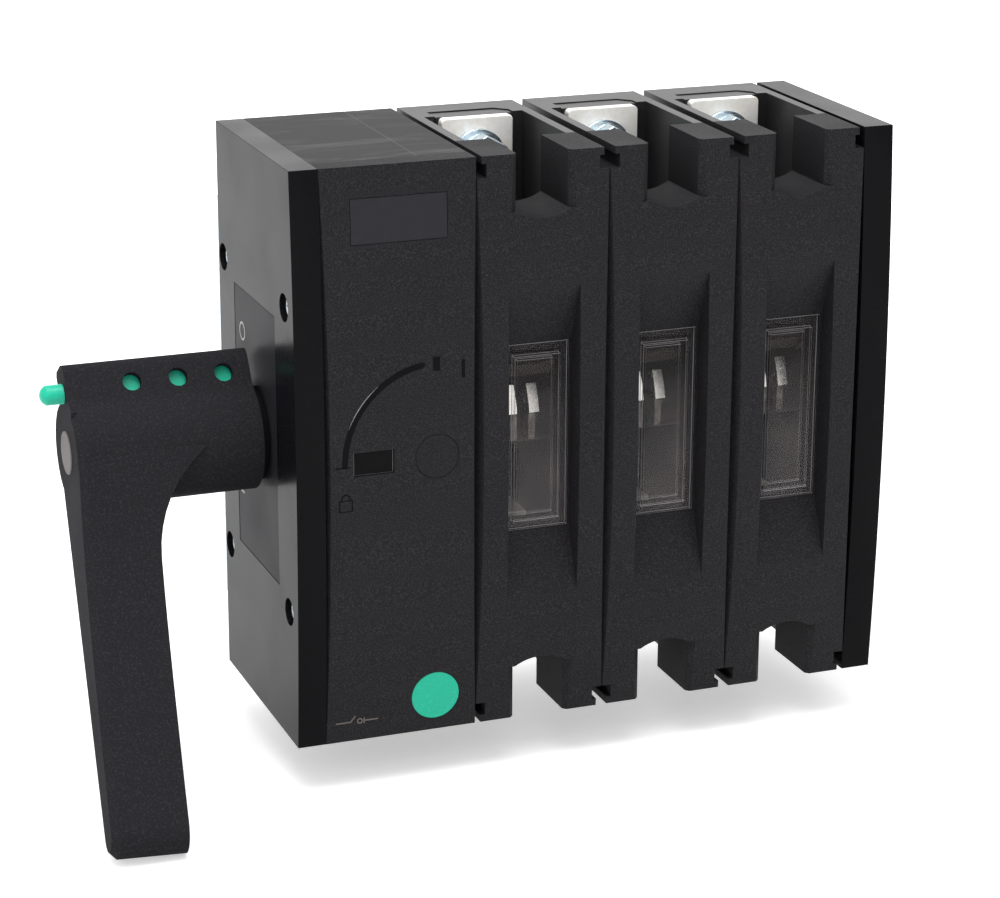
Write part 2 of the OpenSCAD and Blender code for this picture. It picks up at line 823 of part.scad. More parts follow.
// Places of the six terminal bolts, each seen from the front
module at_terminals() {
  for (i = POLES) translate([pole_mid(i), 0, 0]) top_and_bottom() children();
}

// A terminal contact: bar, strap and knife in one piece of plated copper
module contact(i) {
  translate([pole_mid(i), 0, 0]) difference() {
    union() {
      block([-bar_w / 2, bar_front, strap_z], [bar_w / 2, bar_back, half_h - bar_drop - bar_round]);
      hull() for (x = [-1, 1]) {
        bar_y(x * (bar_w / 2 - bar_round), half_h - bar_drop - bar_round, bar_front, bar_back, bar_round);
      }
      block([-strap_w2, y_axis - knife_d2, strap_z], [strap_w2, bar_back, strap_z + bar_t]);
      block([-knife_t / 2, y_axis - knife_d2, knife_reach],
        [knife_t / 2, y_axis + knife_d2, strap_z + cut]);
    }
    bar_y(0, bolt_z, bar_front - cut, bar_back + cut, bolt_r + tie_gap);
  }
}

module upper_contact(i) {
  color("#d8d2c8") contact(i);
}

module lower_contact(i) {
  color("#d8d2c8") mirror([0, 0, 1]) contact(i);
}

washer_front = bar_front - washer_t;
head_back = washer_front - spring_washer_t;
holder_front = bar_back + thread_gap;

module hexagon_y(af, y0, y1) {
  translate([0, y0, bolt_z]) rotate([-90, 30, 0]) cylinder(d = af / cos(30), h = y1 - y0, $fn = 6);
}

module terminal_bolts() {
  color("#c3cad0") at_terminals() {
    hexagon_y(bolt_af, head_back - bolt_head_h, head_back);
    bar_y(0, bolt_z, head_back - cut, holder_front + nut_t, bolt_r);
  }
}

module terminal_washers() {
  color("#b9c4cc") at_terminals() difference() {
    bar_y(0, bolt_z, washer_front, bar_front, washer_r);
    bar_y(0, bolt_z, washer_front - cut, bar_front + cut, bolt_r + thread_gap);
  }
}

module spring_washers() {
  split_angle = 25;
  split_w2 = 0.6;
  color("#b9c4cc") at_terminals() difference() {
    bar_y(0, bolt_z, head_back, washer_front, spring_washer_r);
    bar_y(0, bolt_z, head_back - cut, washer_front + cut, bolt_r + thread_gap);
    translate([0, 0, bolt_z]) rotate([0, split_angle, 0])
      block([0, head_back - cut, -split_w2], [washer_r, washer_front + cut, split_w2]);
  }
}

module terminal_nuts() {
  color("#c9cbce") at_terminals() difference() {
    hexagon_y(bolt_af, holder_front, holder_front + nut_t);
    bar_y(0, bolt_z, holder_front - cut, holder_back + cut, bolt_r + thread_gap);
  }
}

module nut_holders() {
  z0 = terminal_z + seat_gap;
  color("#39393c") at_terminals() difference() {
    translate([0, 0, z0]) linear_extrude(half_h - bar_drop - z0) holder_outline(holder_front, 0);
    hexagon_y(bolt_af + seat_gap, holder_front - cut, holder_front + nut_t + seat_gap);
  }
}

// Rotors, blades and arc chutes

blade_in = knife_t / 2 + knife_gap;
blade_out = blade_in + blade_t;
square_hole = shaft_s + 2 * shaft_gap;

module square_bore(x0, x1) {
  block([x0, y_axis - square_hole / 2, -square_hole / 2],
    [x1, y_axis + square_hole / 2, square_hole / 2]);
}

// A rotor: two sleeves and a spacer disc that hold the blades apart on the square shaft
module rotor(i) {
  mid = pole_mid(i);
  reach = pole_pitch / 2 - seat_gap / 2;
  drum_end = pole_pitch / 2 - pole_wall - seat_gap;
  color("#4a4a4e") difference() {
    union() {
      bar_x(mid - reach, mid - blade_out, journal_r, y_axis, 0);
      bar_x(mid - drum_end, mid - blade_out, rotor_r, y_axis, 0);
      bar_x(mid - blade_in, mid + blade_in, rotor_r, y_axis, 0);
      bar_x(mid + blade_out, mid + drum_end, rotor_r, y_axis, 0);
      bar_x(mid + blade_out, mid + reach, journal_r, y_axis, 0);
    }
    square_bore(mid - pole_pitch, mid + pole_pitch);
  }
}

module moving_blades(i) {
  mid = pole_mid(i);
  inset = 0.5;
  color("#d9d4cc") difference() {
    for (x = [mid - blade_out, mid + blade_in]) {
      bar_x(x, x + blade_t, rotor_r - inset, y_axis, 0);
      block([x, y_axis - blade_l2, -blade_h / 2], [x + blade_t, y_axis + blade_l2, blade_h / 2]);
    }
    square_bore(mid - pole_pitch, mid + pole_pitch);
  }
}

// One arc chute: splitter plates between two cheeks, hung from the partition
module chute(i) {
  first = 40;
  last = 75;
  spread = 3;
  knife_room = 4;
  bar_room = 1;
  tab_in = knife_d2 + knife_room;
  tab_out = bar_front - y_axis - bar_room;
  tab_z = chamber_h2 - seat_gap;
  translate([pole_mid(i), y_axis, 0]) {
    for (n = [0:splitters - 1]) {
      rotate([-first - n * (last - first) / (splitters - 1), 0, 0])
        block([-chute_w2 - cut, -chute_r2, -splitter_t / 2], [chute_w2 + cut, -chute_r1, splitter_t / 2]);
    }
    for (x = [-chute_w2 - cheek_t, chute_w2]) {
      translate([x, 0, 0]) rotate([90, 0, 90]) linear_extrude(cheek_t) {
        polygon([for (r = [chute_r1, chute_r2], s = [0:4])
          let (a = first - spread + (r == chute_r1 ? s : 4 - s) * (last - first + 2 * spread) / 4)
          [-r * cos(a), r * sin(a)]]);
        polygon([[-tab_out, chute_r1 * sin(first)], [-tab_out, tab_z],
          [-tab_in, tab_z], [-tab_in, chute_r1]]);
      }
    }
  }
}

module arc_chutes(i) {
  color("#b98e5a") {
    chute(i);
    translate([0, 2 * y_axis, 0]) rotate([half_turn, 0, 0]) chute(i);
  }
}

// Shafts and mechanism

x_case_in = x_mech + case_wall;
drive_x0 = x_case_in + seat_gap;
drive_x1 = drive_x0 + drive_t;
drum_x0 = drive_x1 + 2 * seat_gap;
drum_x1 = x_mech + slot_x + slot_w + 1;
hub_end = x_left - handle_gap;
grip_end = hub_end - hub_l;

// The steel insert in the hub, and the screw that holds the handle on its spindle
insert_wall = 3;
insert_x0 = grip_end + cap_depth;
insert_x1 = hub_end - insert_back;
bottom_x = insert_x0 + insert_wall;
screw_r = 3;
screw_l = 20;
screw_head_r = 5;
screw_head_h = 4.5;
screw_hex = 5;
screw_hex_d = 3;

// The square that the handle and the drive disc share, turned with the handle
module handle_square(x0, x1, s) {
  at_handle() block([x0, -s / 2, -s / 2], [x1, s / 2, s / 2]);
}

module handle_spindle() {
  color("#b5b7ba") difference() {
    union() {
      bar_x(insert_x1, x_case_in, spindle_r, y_axis, 0);
      handle_square(bottom_x + seat_gap, drive_x1, shaft_s);
    }
    bar_x(insert_x0, bottom_x + screw_l + 2, screw_r + thread_gap, y_axis, 0);
  }
}

// The drive pins reach into holes of the drum
drive_pin_l = 6;
drive_hole_d = 9;
drive_hole_gap = 0.15;

module drive_pins(x0, x1, r) {
  for (a = [0, half_turn]) {
    translate([0, y_axis, 0]) rotate([a + 45, 0, 0]) bar_x(x0, x1, r, drive_pin_pcd, 0);
  }
}

module drive_disc() {
  color("#a9acb0") difference() {
    union() {
      bar_x(drive_x0, drive_x1, drive_r, y_axis, 0);
      drive_pins(drive_x0 + cut, drive_x1 + drive_pin_l, drive_pin_r);
    }
    handle_square(drive_x0 - cut, drive_x1 + cut, square_hole);
  }
}

module main_shaft() {
  color("#b5b7ba") block([drum_x0, y_axis - shaft_s / 2, -shaft_s / 2],
    [shaft_end - seat_gap, y_axis + shaft_s / 2, shaft_s / 2]);
}

// The drum behind the position window: a hub, a web and a curved wall from front to bottom
module position_drum() {
  web = 2.5;
  margin = 16;
  drum_hub_r = 17;
  far = 2 * drum_r;
  color("#1d1d1f") difference() {
    union() {
      bar_x(drum_x0, drum_x1, drum_hub_r, y_axis, 0);
      intersection() {
        difference() {
          bar_x(drum_x0, drum_x1, drum_r, y_axis, 0);
          bar_x(drum_x0 + web, drum_x1 + cut, drum_r - drum_t, y_axis, 0);
        }
        along_x(drum_x0 - cut, drum_x1 - drum_x0 + 2 * cut) polygon([
          [y_axis, 0], [y_axis - far * cos(margin), far * sin(margin)],
          [y_axis - far, -far], [y_axis + far * sin(margin), -far * cos(margin)]]);
      }
    }
    square_bore(drum_x0 - cut, drum_x1 + cut);
    drive_pins(drum_x0 - cut, drum_x0 + drive_hole_d, drive_pin_r + drive_hole_gap);
  }
}

frame_room = 2;
frame_x0 = drum_x1 + frame_room;

// A pressed steel frame that carries the shaft and the spring
module mech_frame() {
  g = seat_gap;
  fold = 10;
  color("#9a9da1") difference() {
    union() {
      block([frame_x0, case_front + g, -case_top + g], [frame_x0 + frame_t, case_back - g, case_top - g]);
      for (z = [-case_top + g, case_top - g - frame_t]) {
        block([frame_x0, case_front + g, z], [frame_x0 + fold, case_back - g, z + frame_t]);
      }
    }
    bar_x(frame_x0 - cut, frame_x0 + frame_t + cut, shaft_bore_r, y_axis, 0);
    at_tie_bolts() bar_x(frame_x0 - cut, frame_x0 + frame_t + cut, boss_r + g);
  }
}

// Points around the wire at one place of the torsion spring's helix
function wire_ring(a, pitch, sides) = [for (k = [0:sides - 1])
  let (t = 360 * k / sides, r = spring_r + wire_r * cos(t))
  [pitch * a / 360 + wire_r * sin(t), r * cos(a), r * sin(a)]];

module drive_spring() {
  sides = 8;
  per_turn = 24;
  coil_gap = 0.4;
  rest_gap = 0.1;
  rings = spring_turns * per_turn + 1;
  pitch = 2 * wire_r + coil_gap;
  x0 = frame_x0 + frame_t + wire_r + rest_gap;
  points = [for (n = [0:rings - 1]) each wire_ring(n * 360 / per_turn, pitch, sides)];
  walls = [for (n = [0:rings - 2], k = [0:sides - 1])
    [n * sides + k, n * sides + (k + 1) % sides, (n + 1) * sides + (k + 1) % sides, (n + 1) * sides + k]];
  first = [for (k = [0:sides - 1]) sides - 1 - k];
  last = [for (k = [0:sides - 1]) (rings - 1) * sides + k];
  color("#8f9296") translate([x0, y_axis, 0]) polyhedron(points, concat(walls, [first, last]));
}

// Handle. Its outlines are drawn with the lever straight down and the front to the right,
// and the whole handle is turned back to its OFF position.

module at_handle() {
  translate([0, y_axis, 0]) rotate([-lever_angle, 0, 0]) children();
}

// Middle of the lever's round tip
flank_waist = 4.8;
tip_y = tip_r - flank_waist;
tip_z = -lever_l + tip_r;
// The lever's flank leaves the hub on a straight line and comes in below it on a fading curve
flank_bend = 20;
flank_swell = 10.2;
flank_fade = 33.5;
flank_steps = 12;
tip_steps = 13;
rear_start = [hub_r - 1.2, -4];
rear_end = [tip_y + tip_r, tip_z];

function flank(z) = [-flank_waist - flank_swell * exp((z + flank_bend) / flank_fade), z];
function share(s) = pow(s / flank_steps, 1.4);
function tip(a) = [tip_y + tip_r * cos(a), tip_z + tip_r * sin(a)];

// Where the straight line touches the hub, a little below its surface
flank_angle = atan2(flank_bend, -flank(-flank_bend)[0]) - acos(hub_r / norm(flank(-flank_bend)));
flank_start = -(hub_r - 0.3) * [cos(flank_angle), sin(flank_angle)];

// The lever's side view: its front edge and its rear edge, both from the hub down to the tip
LEVER_FRONT = concat(
  [[-hub_r / 2, hub_r / 4], flank_start],
  [for (s = [0:flank_steps]) flank(-flank_bend + (tip_z + flank_bend) * share(s))],
  [for (s = [1:floor(tip_steps / 2)]) tip(180 + 180 * s / tip_steps)]);
LEVER_REAR = concat(
  [[hub_r / 2, hub_r / 4], rear_start],
  [for (s = [0:flank_steps]) rear_start + (rear_end - rear_start) * (0.1 + 0.9 * share(s))],
  [for (s = [1:floor(tip_steps / 2)]) tip(-180 * s / tip_steps)]);

// An outline drawn anticlockwise, moved inwards by a distance
function inward(p) = [-p[1], p[0]] / norm(p);
function inset(outline, by) = [for (i = [0:len(outline) - 1]) let (
  n = len(outline),
  a = inward(outline[i] - outline[(i + n - 1) % n]),
  b = inward(outline[(i + 1) % n] - outline[i]))
  outline[i] + by * (a + b) / (1 + a * b)];

// A block along X between two edges with as many points, as long as the hub and chamfered all
// round its outer face
module grip_block(edge, far_edge) {
  rows = len(edge);
  n = 2 * rows;
  outline = concat(edge, [for (i = [rows - 1:-1:0]) far_edge[i]]);
  rings = [[0, inset(outline, grip_chamfer)], [grip_chamfer, outline], [hub_l, outline]];
  points = [for (ring = rings, p = ring[1]) [ring[0], p[0], p[1]]];
  walls = [for (k = [0:1], i = [0:n - 1])
    [k * n + i, (k + 1) * n + i, (k + 1) * n + (i + 1) % n, k * n + (i + 1) % n]];
  outer = [for (k = [0:rows - 2]) [k, k + 1, n - 2 - k, n - 1 - k]];
  inner = [for (face = outer) [for (i = [3:-1:0]) face[i] + 2 * n]];
  polyhedron(points, concat(outer, inner, walls));
}

// The lever's front view: its inner edge leaves the hub on a large round
module lever_front() {
  steps = 12;
  far_x = hub_l - 3;
  middle_x = lever_w + root_r;
  sweep = acos((middle_x - far_x) / root_r);
  polygon(concat(
    [[-cut, hub_r], [-cut, -lever_l - cut], [lever_w, -lever_l - cut]],
    [for (s = [0:steps]) let (a = sweep * s / steps)
      [middle_x - root_r * cos(a), -root_drop + root_r * sin(a)]],
    [[far_x, hub_r]]));
}

// The lever leans outwards from a line across the hub's outer face, below the cap
module lever() {
  lean_z = -12;
  translate([grip_end, 0, lean_z]) rotate([0, lever_lean, 0]) translate([0, 0, -lean_z]) intersection() {
    grip_block(LEVER_FRONT, LEVER_REAR);
    translate([0, 2 * hub_r, 0]) rotate([90, 0, 0]) linear_extrude(4 * hub_r) lever_front();
  }
}

// The ridge's end view: up the hollow and the front, over the rounded edge and down the rear side.
// The hollow starts a little below the hub's surface
hollow_sink = 0.2;
hollow_y = ridge_front + ridge_hollow;
hollow_z = sqrt(pow(hub_r - hollow_sink + ridge_hollow, 2) - hollow_y * hollow_y);
ridge_rear_round = 1.5;
module ridge() {
  steps = 5;
  polygon(concat(
    [[ridge_rear, 0], [hub_r / 2, 0]],
    [for (s = [0:steps]) let (a = atan(hollow_z / hollow_y) * (1 - s / steps))
      [hollow_y - ridge_hollow * cos(a), hollow_z - ridge_hollow * sin(a)]],
    [for (s = [0:steps]) let (a = 90 * s / steps)
      [ridge_front - ridge_round * (1 - cos(a)), ridge_h - ridge_round * (1 - sin(a))]],
    [[ridge_rear + ridge_rear_round, ridge_h], [ridge_rear, ridge_h - ridge_rear_round]]));
}

// The hub, with the locking ridge on it
module hub() {
  bar_x(grip_end + grip_chamfer, hub_end, hub_r);
  translate([grip_end, 0, 0]) rotate([0, 90, 0])
    cylinder(r1 = hub_r - grip_chamfer, r2 = hub_r, h = grip_chamfer);
  along_x(grip_end, hub_l) mirror([1, 0]) ridge();
}

// Middle of each padlock hole along the hub
function lock_x(n) = hub_end - lock_first - n * lock_pitch;

// Wall at the outer end of the slide's channel, and the play the slide has in it
channel_wall = 2.5;
channel_play = 0.4;
channel_x0 = grip_end + channel_wall;
slide_x0 = channel_x0 + slide_travel + channel_play;
slide_x1 = hub_end - 2;

module handle_grip() {
  g = slide_gap;
  color("#1f1f21") at_handle() difference() {
    union() {
      hub();
      lever();
    }
    bar_x(insert_x0, hub_end + cut, insert_r + run_gap);
    bar_x(grip_end - cut, insert_x0 + cut, cap_r + run_gap);
    block([channel_x0, -slide_y - slide_t / 2 - g, slide_l - slide_h / 2 - g],
      [slide_x1 + g, -slide_y + slide_t / 2 + g, slide_l + slide_h / 2 + g]);
    bar_x(grip_end - cut, channel_x0 + cut, pin_r + run_gap, -slide_y, slide_l);
    for (n = [0:2]) {
      bar_y(lock_x(n), slide_l, -2 * ridge_front, 2 * ridge_front, lock_r);
    }
  }
}

module handle_insert() {
  color("#a7aaad") at_handle() difference() {
    bar_x(insert_x0, insert_x1, insert_r);
    block([bottom_x, -square_hole / 2, -square_hole / 2],
      [insert_x1 + cut, square_hole / 2, square_hole / 2]);
    bar_x(insert_x0 - cut, bottom_x + cut, screw_r + seat_gap);
  }
}

module handle_screw() {
  color("#8b8e92") at_handle() difference() {
    union() {
      bar_x(insert_x0 - screw_head_h, insert_x0, screw_head_r);
      bar_x(insert_x0 - cut, bottom_x + screw_l, screw_r);
    }
    translate([insert_x0 - screw_head_h - cut, 0, 0]) rotate([0, 90, 0])
      cylinder(d = screw_hex / cos(30), h = screw_hex_d + cut, $fn = 6);
  }
}

module handle_cap() {
  cap_out = 0.4;
  color("#a09a98") at_handle() bar_x(grip_end - cap_out, insert_x0 - screw_head_h - seat_gap, cap_r);
}

// The padlock slide: a flat bar with three holes and a round push pin
module lock_slide() {
  dome = 2.4;
  tip = grip_end - pin_out;
  color("#2fbfa0") at_handle() difference() {
    union() {
      block([slide_x0, -slide_y - slide_t / 2, slide_l - slide_h / 2],
        [slide_x1, -slide_y + slide_t / 2, slide_l + slide_h / 2]);
      bar_x(tip + dome, slide_x0 + cut, pin_r, -slide_y, slide_l);
      translate([tip + dome, -slide_y, slide_l]) rotate([0, -90, 0]) rotate_extrude()
        intersection() {
          square([pin_r, dome]);
          dome_outline(dome);
        }
    }
    for (n = [0:2]) {
      bar_y(lock_x(n) + slide_travel, slide_l, -2 * ridge_front, 2 * ridge_front, lock_r);
    }
  }
}

// A shallow round cap's outline: an arc through the rim and the crown
module dome_outline(dome) {
  r = (pin_r * pin_r + dome * dome) / (2 * dome);
  translate([0, dome - r]) circle(r = r);
}

side_plate();
side_label();
shaft_bush();
mech_case_left();
mech_case_right();
mech_cover();
name_plate();
front_plug();
position_window();
colour_disc();
end_plate();
mounting_rail_left();
mounting_rail_right();
rail_screws();
tie_bolts();
tie_nuts();
terminal_bolts();
terminal_washers();
spring_washers();
terminal_nuts();
nut_holders();
mech_frame();
drive_spring();
drive_disc();
handle_spindle();
main_shaft();
position_drum();
handle_grip();
handle_insert();
handle_screw();
handle_cap();
lock_slide();
for (i = POLES) pole_base_left(i);
for (i = POLES) pole_base_right(i);
for (i = POLES) pole_cover(i);
for (i = POLES) pole_window(i);
for (i = POLES) upper_contact(i);
for (i = POLES) lower_contact(i);
for (i = POLES) rotor(i);
for (i = POLES) moving_blades(i);
for (i = POLES) arc_chutes(i);
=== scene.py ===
# %% [markdown]
# A three pole switch disconnector for a panel, dressed for its picture.
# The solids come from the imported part, which is the fixed frame of everything here. This script gives
# each solid its real finish and soft edges, and adds what is too fine for the solids: printed and pressed
# marks, a parting line and the arcing tips. Blender measures in metres. Sizes are worked out here in
# millimetres, and multiplied by MM where Blender is given them. Only the table and lamps are in metres.

import json
import math

import bmesh
import bpy
import numpy as np
from mathutils import Matrix, Vector


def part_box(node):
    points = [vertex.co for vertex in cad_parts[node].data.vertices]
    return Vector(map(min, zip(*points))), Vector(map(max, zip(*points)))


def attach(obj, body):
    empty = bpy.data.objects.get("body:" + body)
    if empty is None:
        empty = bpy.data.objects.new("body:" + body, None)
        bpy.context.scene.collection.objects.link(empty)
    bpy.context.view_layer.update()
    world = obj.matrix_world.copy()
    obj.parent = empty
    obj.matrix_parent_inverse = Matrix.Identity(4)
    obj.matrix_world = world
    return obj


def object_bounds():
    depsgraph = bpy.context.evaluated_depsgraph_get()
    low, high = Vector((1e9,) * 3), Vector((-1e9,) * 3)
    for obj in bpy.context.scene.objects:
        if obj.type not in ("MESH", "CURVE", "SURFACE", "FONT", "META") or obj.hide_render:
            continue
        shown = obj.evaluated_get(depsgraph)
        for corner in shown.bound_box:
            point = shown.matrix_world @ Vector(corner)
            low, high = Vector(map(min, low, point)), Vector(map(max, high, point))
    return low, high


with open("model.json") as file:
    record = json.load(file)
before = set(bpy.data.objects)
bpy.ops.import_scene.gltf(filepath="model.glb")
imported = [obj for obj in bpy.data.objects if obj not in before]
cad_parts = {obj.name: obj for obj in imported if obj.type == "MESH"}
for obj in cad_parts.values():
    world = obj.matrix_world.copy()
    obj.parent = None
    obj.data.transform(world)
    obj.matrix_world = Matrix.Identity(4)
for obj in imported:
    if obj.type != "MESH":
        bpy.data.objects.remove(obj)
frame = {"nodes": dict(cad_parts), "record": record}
nodes = frame["nodes"]
cad_low, cad_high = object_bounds()
MM = 0.001
print(len(nodes), "nodes, size in mm", [round(v / MM, 1) for v in cad_high - cad_low])

# %% [markdown]
# The places of the surfaces that carry marks and small pieces are read from the boxes of the solids, so
# that they stay right when the part changes. The fronts bulge: seen from the side they are one long arc.

# %% Places
cover_low, cover_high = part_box("mech_cover")
plug_low, plug_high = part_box("front_plug")
PLUG_X = (plug_low.x + plug_high.x) / 2 / MM
FACE_Y = cover_low.y / MM
HALF_HEIGHT = cover_high.z / MM
LABEL_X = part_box("side_label")[0].x / MM
BULGE = 3.5  # how far the middle of the front stands out past its top and bottom, in mm
BULGE_RADIUS = (HALF_HEIGHT ** 2 + BULGE ** 2) / (2 * BULGE)


def front_y(z):
    """The bulged front in mm: the face at mid height, moved back by what the circle has fallen off."""
    return FACE_Y + BULGE_RADIUS - np.sqrt(BULGE_RADIUS ** 2 - z ** 2)


print("face at y", round(FACE_Y, 2), "half height", round(HALF_HEIGHT, 2), "plug at x", round(PLUG_X, 2))

# %% [markdown]
# The camera stands to the left of the switch and above it, as the photographer's did. Its place and lens
# come from the corners of the housing in the photograph. It has no shift, so that it can be moved round
# the part without losing it.

# %% Camera
IMAGE_W = 1000
FOCAL_PX = 2947
SENSOR_MM = 36
CAMERA_AT_MM = (-395.4, -1024.9, 323.1)
CAMERA_AZIMUTH = -20.99
CAMERA_ELEVATION = 17.99
CAMERA_ROLL = 0.27

camera_data = bpy.data.cameras.new("camera")
camera_data.sensor_width = SENSOR_MM
camera_data.lens = FOCAL_PX / IMAGE_W * SENSOR_MM
camera = bpy.data.objects.new("camera", camera_data)
bpy.context.scene.collection.objects.link(camera)
azimuth, elevation = math.radians(CAMERA_AZIMUTH), math.radians(CAMERA_ELEVATION)
camera_back = Vector((math.sin(azimuth) * math.cos(elevation), -math.cos(azimuth) * math.cos(elevation),
                      math.sin(elevation)))
camera.matrix_world = (
    Matrix.Translation(Vector(CAMERA_AT_MM) * MM)
    @ camera_back.to_track_quat("Z", "Y").to_matrix().to_4x4()
    @ Matrix.Rotation(math.radians(CAMERA_ROLL), 4, "Z")
)
bpy.context.scene.camera = camera
print("lens", round(camera_data.lens, 1), "mm")

# %% [markdown]
# Every material is a small graph of nodes. One function turns the written sRGB colour into the linear
# values that Blender mixes, and one adds a node with its settings and links.

# %% Material helpers


def linear(hex_colour):
    """An sRGB hex colour as linear red, green, blue and alpha. The dark end of the sRGB curve is a straight
    line, and the rest is a power of 2.4."""
    values = np.array([int(hex_colour[i:i + 2], 16) for i in (1, 3, 5)]) / 255
    low, high = values / 12.92, ((values + 0.055) / 1.055) ** 2.4
    return (*np.where(values <= 0.04045, low, high).tolist(), 1.0)


def add_node(tree, kind, settings=None, links=None):
    """A new node of a kind, with its attributes and socket values set and its inputs linked from other
    sockets."""
    node = tree.nodes.new(kind)
    for name, value in (settings or {}).items():
        if isinstance(name, str) and hasattr(node, name):
            setattr(node, name, value)
        else:
            node.inputs[name].default_value = value
    for name, socket in (links or {}).items():
        tree.links.new(socket, node.inputs[name])
    return node


def new_material(name):
    """An empty material with its output and one shader, which it returns with the node tree."""
    material = bpy.data.materials.new(name)
    material.use_nodes = True
    tree = material.node_tree
    tree.nodes.clear()
    shader = add_node(tree, "ShaderNodeBsdfPrincipled")
    add_node(tree, "ShaderNodeOutputMaterial", links={"Surface": shader.outputs["BSDF"]})
    return material, tree, shader


# %% [markdown]
# The black parts are moulded. A mould that was spark eroded leaves a fine leathery grain on the covers,
# and a polished one leaves the side plates smooth. The grain is a noise whose cells are as wide as the
# grain is on the part. It tilts the surface a little, and it lifts the colour a little on its high spots:
# that is wear where handling rubs them, and painted highlight where the light would catch them. Black
# plastic in a white room is pale wherever it mirrors the room, so the specular level of each plastic is
# lowered until its black is as deep as the real one's.

# %% Moulded plastics
GLOSS_CLOUD_MM = 28  # how far apart the duller and the glossier areas of a moulding lie
GLOSS_DRIFT = 0.04


def moulded_plastic(name, colour, light, roughness, grain_mm, grain_depth_mm, specular=0.5):
    """Dyed plastic: base colour with a pale speckle on the grain's tops, partly wear and partly painted
    highlight, bump from the same noise, and a roughness that drifts slowly over the part, because no
    moulding cools evenly."""
    material, tree, shader = new_material(name)
    where = add_node(tree, "ShaderNodeTexCoord")
    grain = add_node(tree, "ShaderNodeTexNoise",
                     {"Scale": 1 / (grain_mm * MM), "Detail": 2.0, "Roughness": 0.55},
                     {"Vector": where.outputs["Object"]})
    cloud = add_node(tree, "ShaderNodeTexNoise", {"Scale": 1 / (GLOSS_CLOUD_MM * MM), "Detail": 3.0},
                     {"Vector": where.outputs["Object"]})
    # partly painted highlight: the grain's high spots are drawn paler where the light would catch them, and
    # partly wear
    tops = add_node(tree, "ShaderNodeMapRange", {"From Min": 0.5, "From Max": 0.8},
                    {"Value": grain.outputs["Fac"]})
    tint = add_node(tree, "ShaderNodeMix", {"data_type": "RGBA", 6: linear(colour), 7: linear(light)},
                    {"Factor": tops.outputs["Result"]})
    drift = add_node(tree, "ShaderNodeMapRange",
                     {"From Min": 0.3, "From Max": 0.7, "To Min": roughness - GLOSS_DRIFT,
                      "To Max": roughness + GLOSS_DRIFT}, {"Value": cloud.outputs["Fac"]})
    bump = add_node(tree, "ShaderNodeBump", {"Strength": 1.0, "Distance": grain_depth_mm * MM},
                    {"Height": grain.outputs["Fac"]})
    tree.links.new(tint.outputs[2], shader.inputs["Base Color"])
    tree.links.new(drift.outputs["Result"], shader.inputs["Roughness"])
    tree.links.new(bump.outputs["Normal"], shader.inputs["Normal"])
    shader.inputs["Specular IOR Level"].default_value = specular
    shader.inputs["IOR"].default_value = 1.5
    return material


# %% [markdown]
# The cases of the mechanism and the poles are a smooth thermoset. Their tops have been slid over shelves
# and benches, which leaves pale, dull wisps along the way they were pushed. Upright faces are hardly
# touched, so the wear on a face depends on how far it looks up or down.

# %% Worn thermoset
WISP_MM = 18
FINE_GRAIN_MM = 0.5
UPRIGHT_SHARE = 0.12  # how much of the wear an upright face gets


def worn_case_plastic(specular):
    """Smooth black thermoset with wear. Wisps = a noise that is stretched along the sliding direction and
    cut off below a half. Wear = the wisps times a share, which grows from UPRIGHT_SHARE to one with the
    normal's Z without its sign. Wear makes the colour paler and the gloss duller."""
    material, tree, shader = new_material("scuffed_thermoset")
    where = add_node(tree, "ShaderNodeTexCoord")
    stretch = add_node(tree, "ShaderNodeMapping", {"Scale": (0.35, 1.4, 1.0), "Rotation": (0, 0, 0.5)},
                       {"Vector": where.outputs["Object"]})
    noise = add_node(tree, "ShaderNodeTexNoise",
                     {"Scale": 1 / (WISP_MM * MM), "Detail": 6.0, "Roughness": 0.62, "Distortion": 0.8},
                     {"Vector": stretch.outputs["Vector"]})
    wisps = add_node(tree, "ShaderNodeMapRange", {"From Min": 0.5, "From Max": 0.85},
                     {"Value": noise.outputs["Fac"]})
    facing = add_node(tree, "ShaderNodeSeparateXYZ", {}, {"Vector": where.outputs["Normal"]})
    level = add_node(tree, "ShaderNodeMath", {"operation": "ABSOLUTE"}, {0: facing.outputs["Z"]})
    share = add_node(tree, "ShaderNodeMapRange", {"To Min": UPRIGHT_SHARE},
                     {"Value": level.outputs["Value"]})
    wear = add_node(tree, "ShaderNodeMath", {"operation": "MULTIPLY"},
                    {0: wisps.outputs["Result"], 1: share.outputs["Result"]})
    fine = add_node(tree, "ShaderNodeTexNoise", {"Scale": 1 / (FINE_GRAIN_MM * MM), "Detail": 2.0},
                    {"Vector": where.outputs["Object"]})
    tint = add_node(tree, "ShaderNodeMix", {"data_type": "RGBA", 6: linear("#262627"), 7: linear("#6C6A68")},
                    {"Factor": wear.outputs["Value"]})
    gloss = add_node(tree, "ShaderNodeMapRange", {"To Min": 0.36, "To Max": 0.6},
                     {"Value": wear.outputs["Value"]})
    bump = add_node(tree, "ShaderNodeBump", {"Strength": 0.5, "Distance": 0.02 * MM},
                    {"Height": fine.outputs["Fac"]})
    tree.links.new(tint.outputs[2], shader.inputs["Base Color"])
    tree.links.new(gloss.outputs["Result"], shader.inputs["Roughness"])
    tree.links.new(bump.outputs["Normal"], shader.inputs["Normal"])
    shader.inputs["Specular IOR Level"].default_value = specular
    return material


# %% [markdown]
# The metals differ in how they were finished. Zinc plating with blue passivation has a faint blue and
# yellow play over a satin crystal, silver plating is warm and nearly white with soft tarnish clouds, and
# drawn steel keeps fine lines along the bar. A metal takes all its colour from its reflection, so the
# roughness does most of the work.

# %% Plated metals


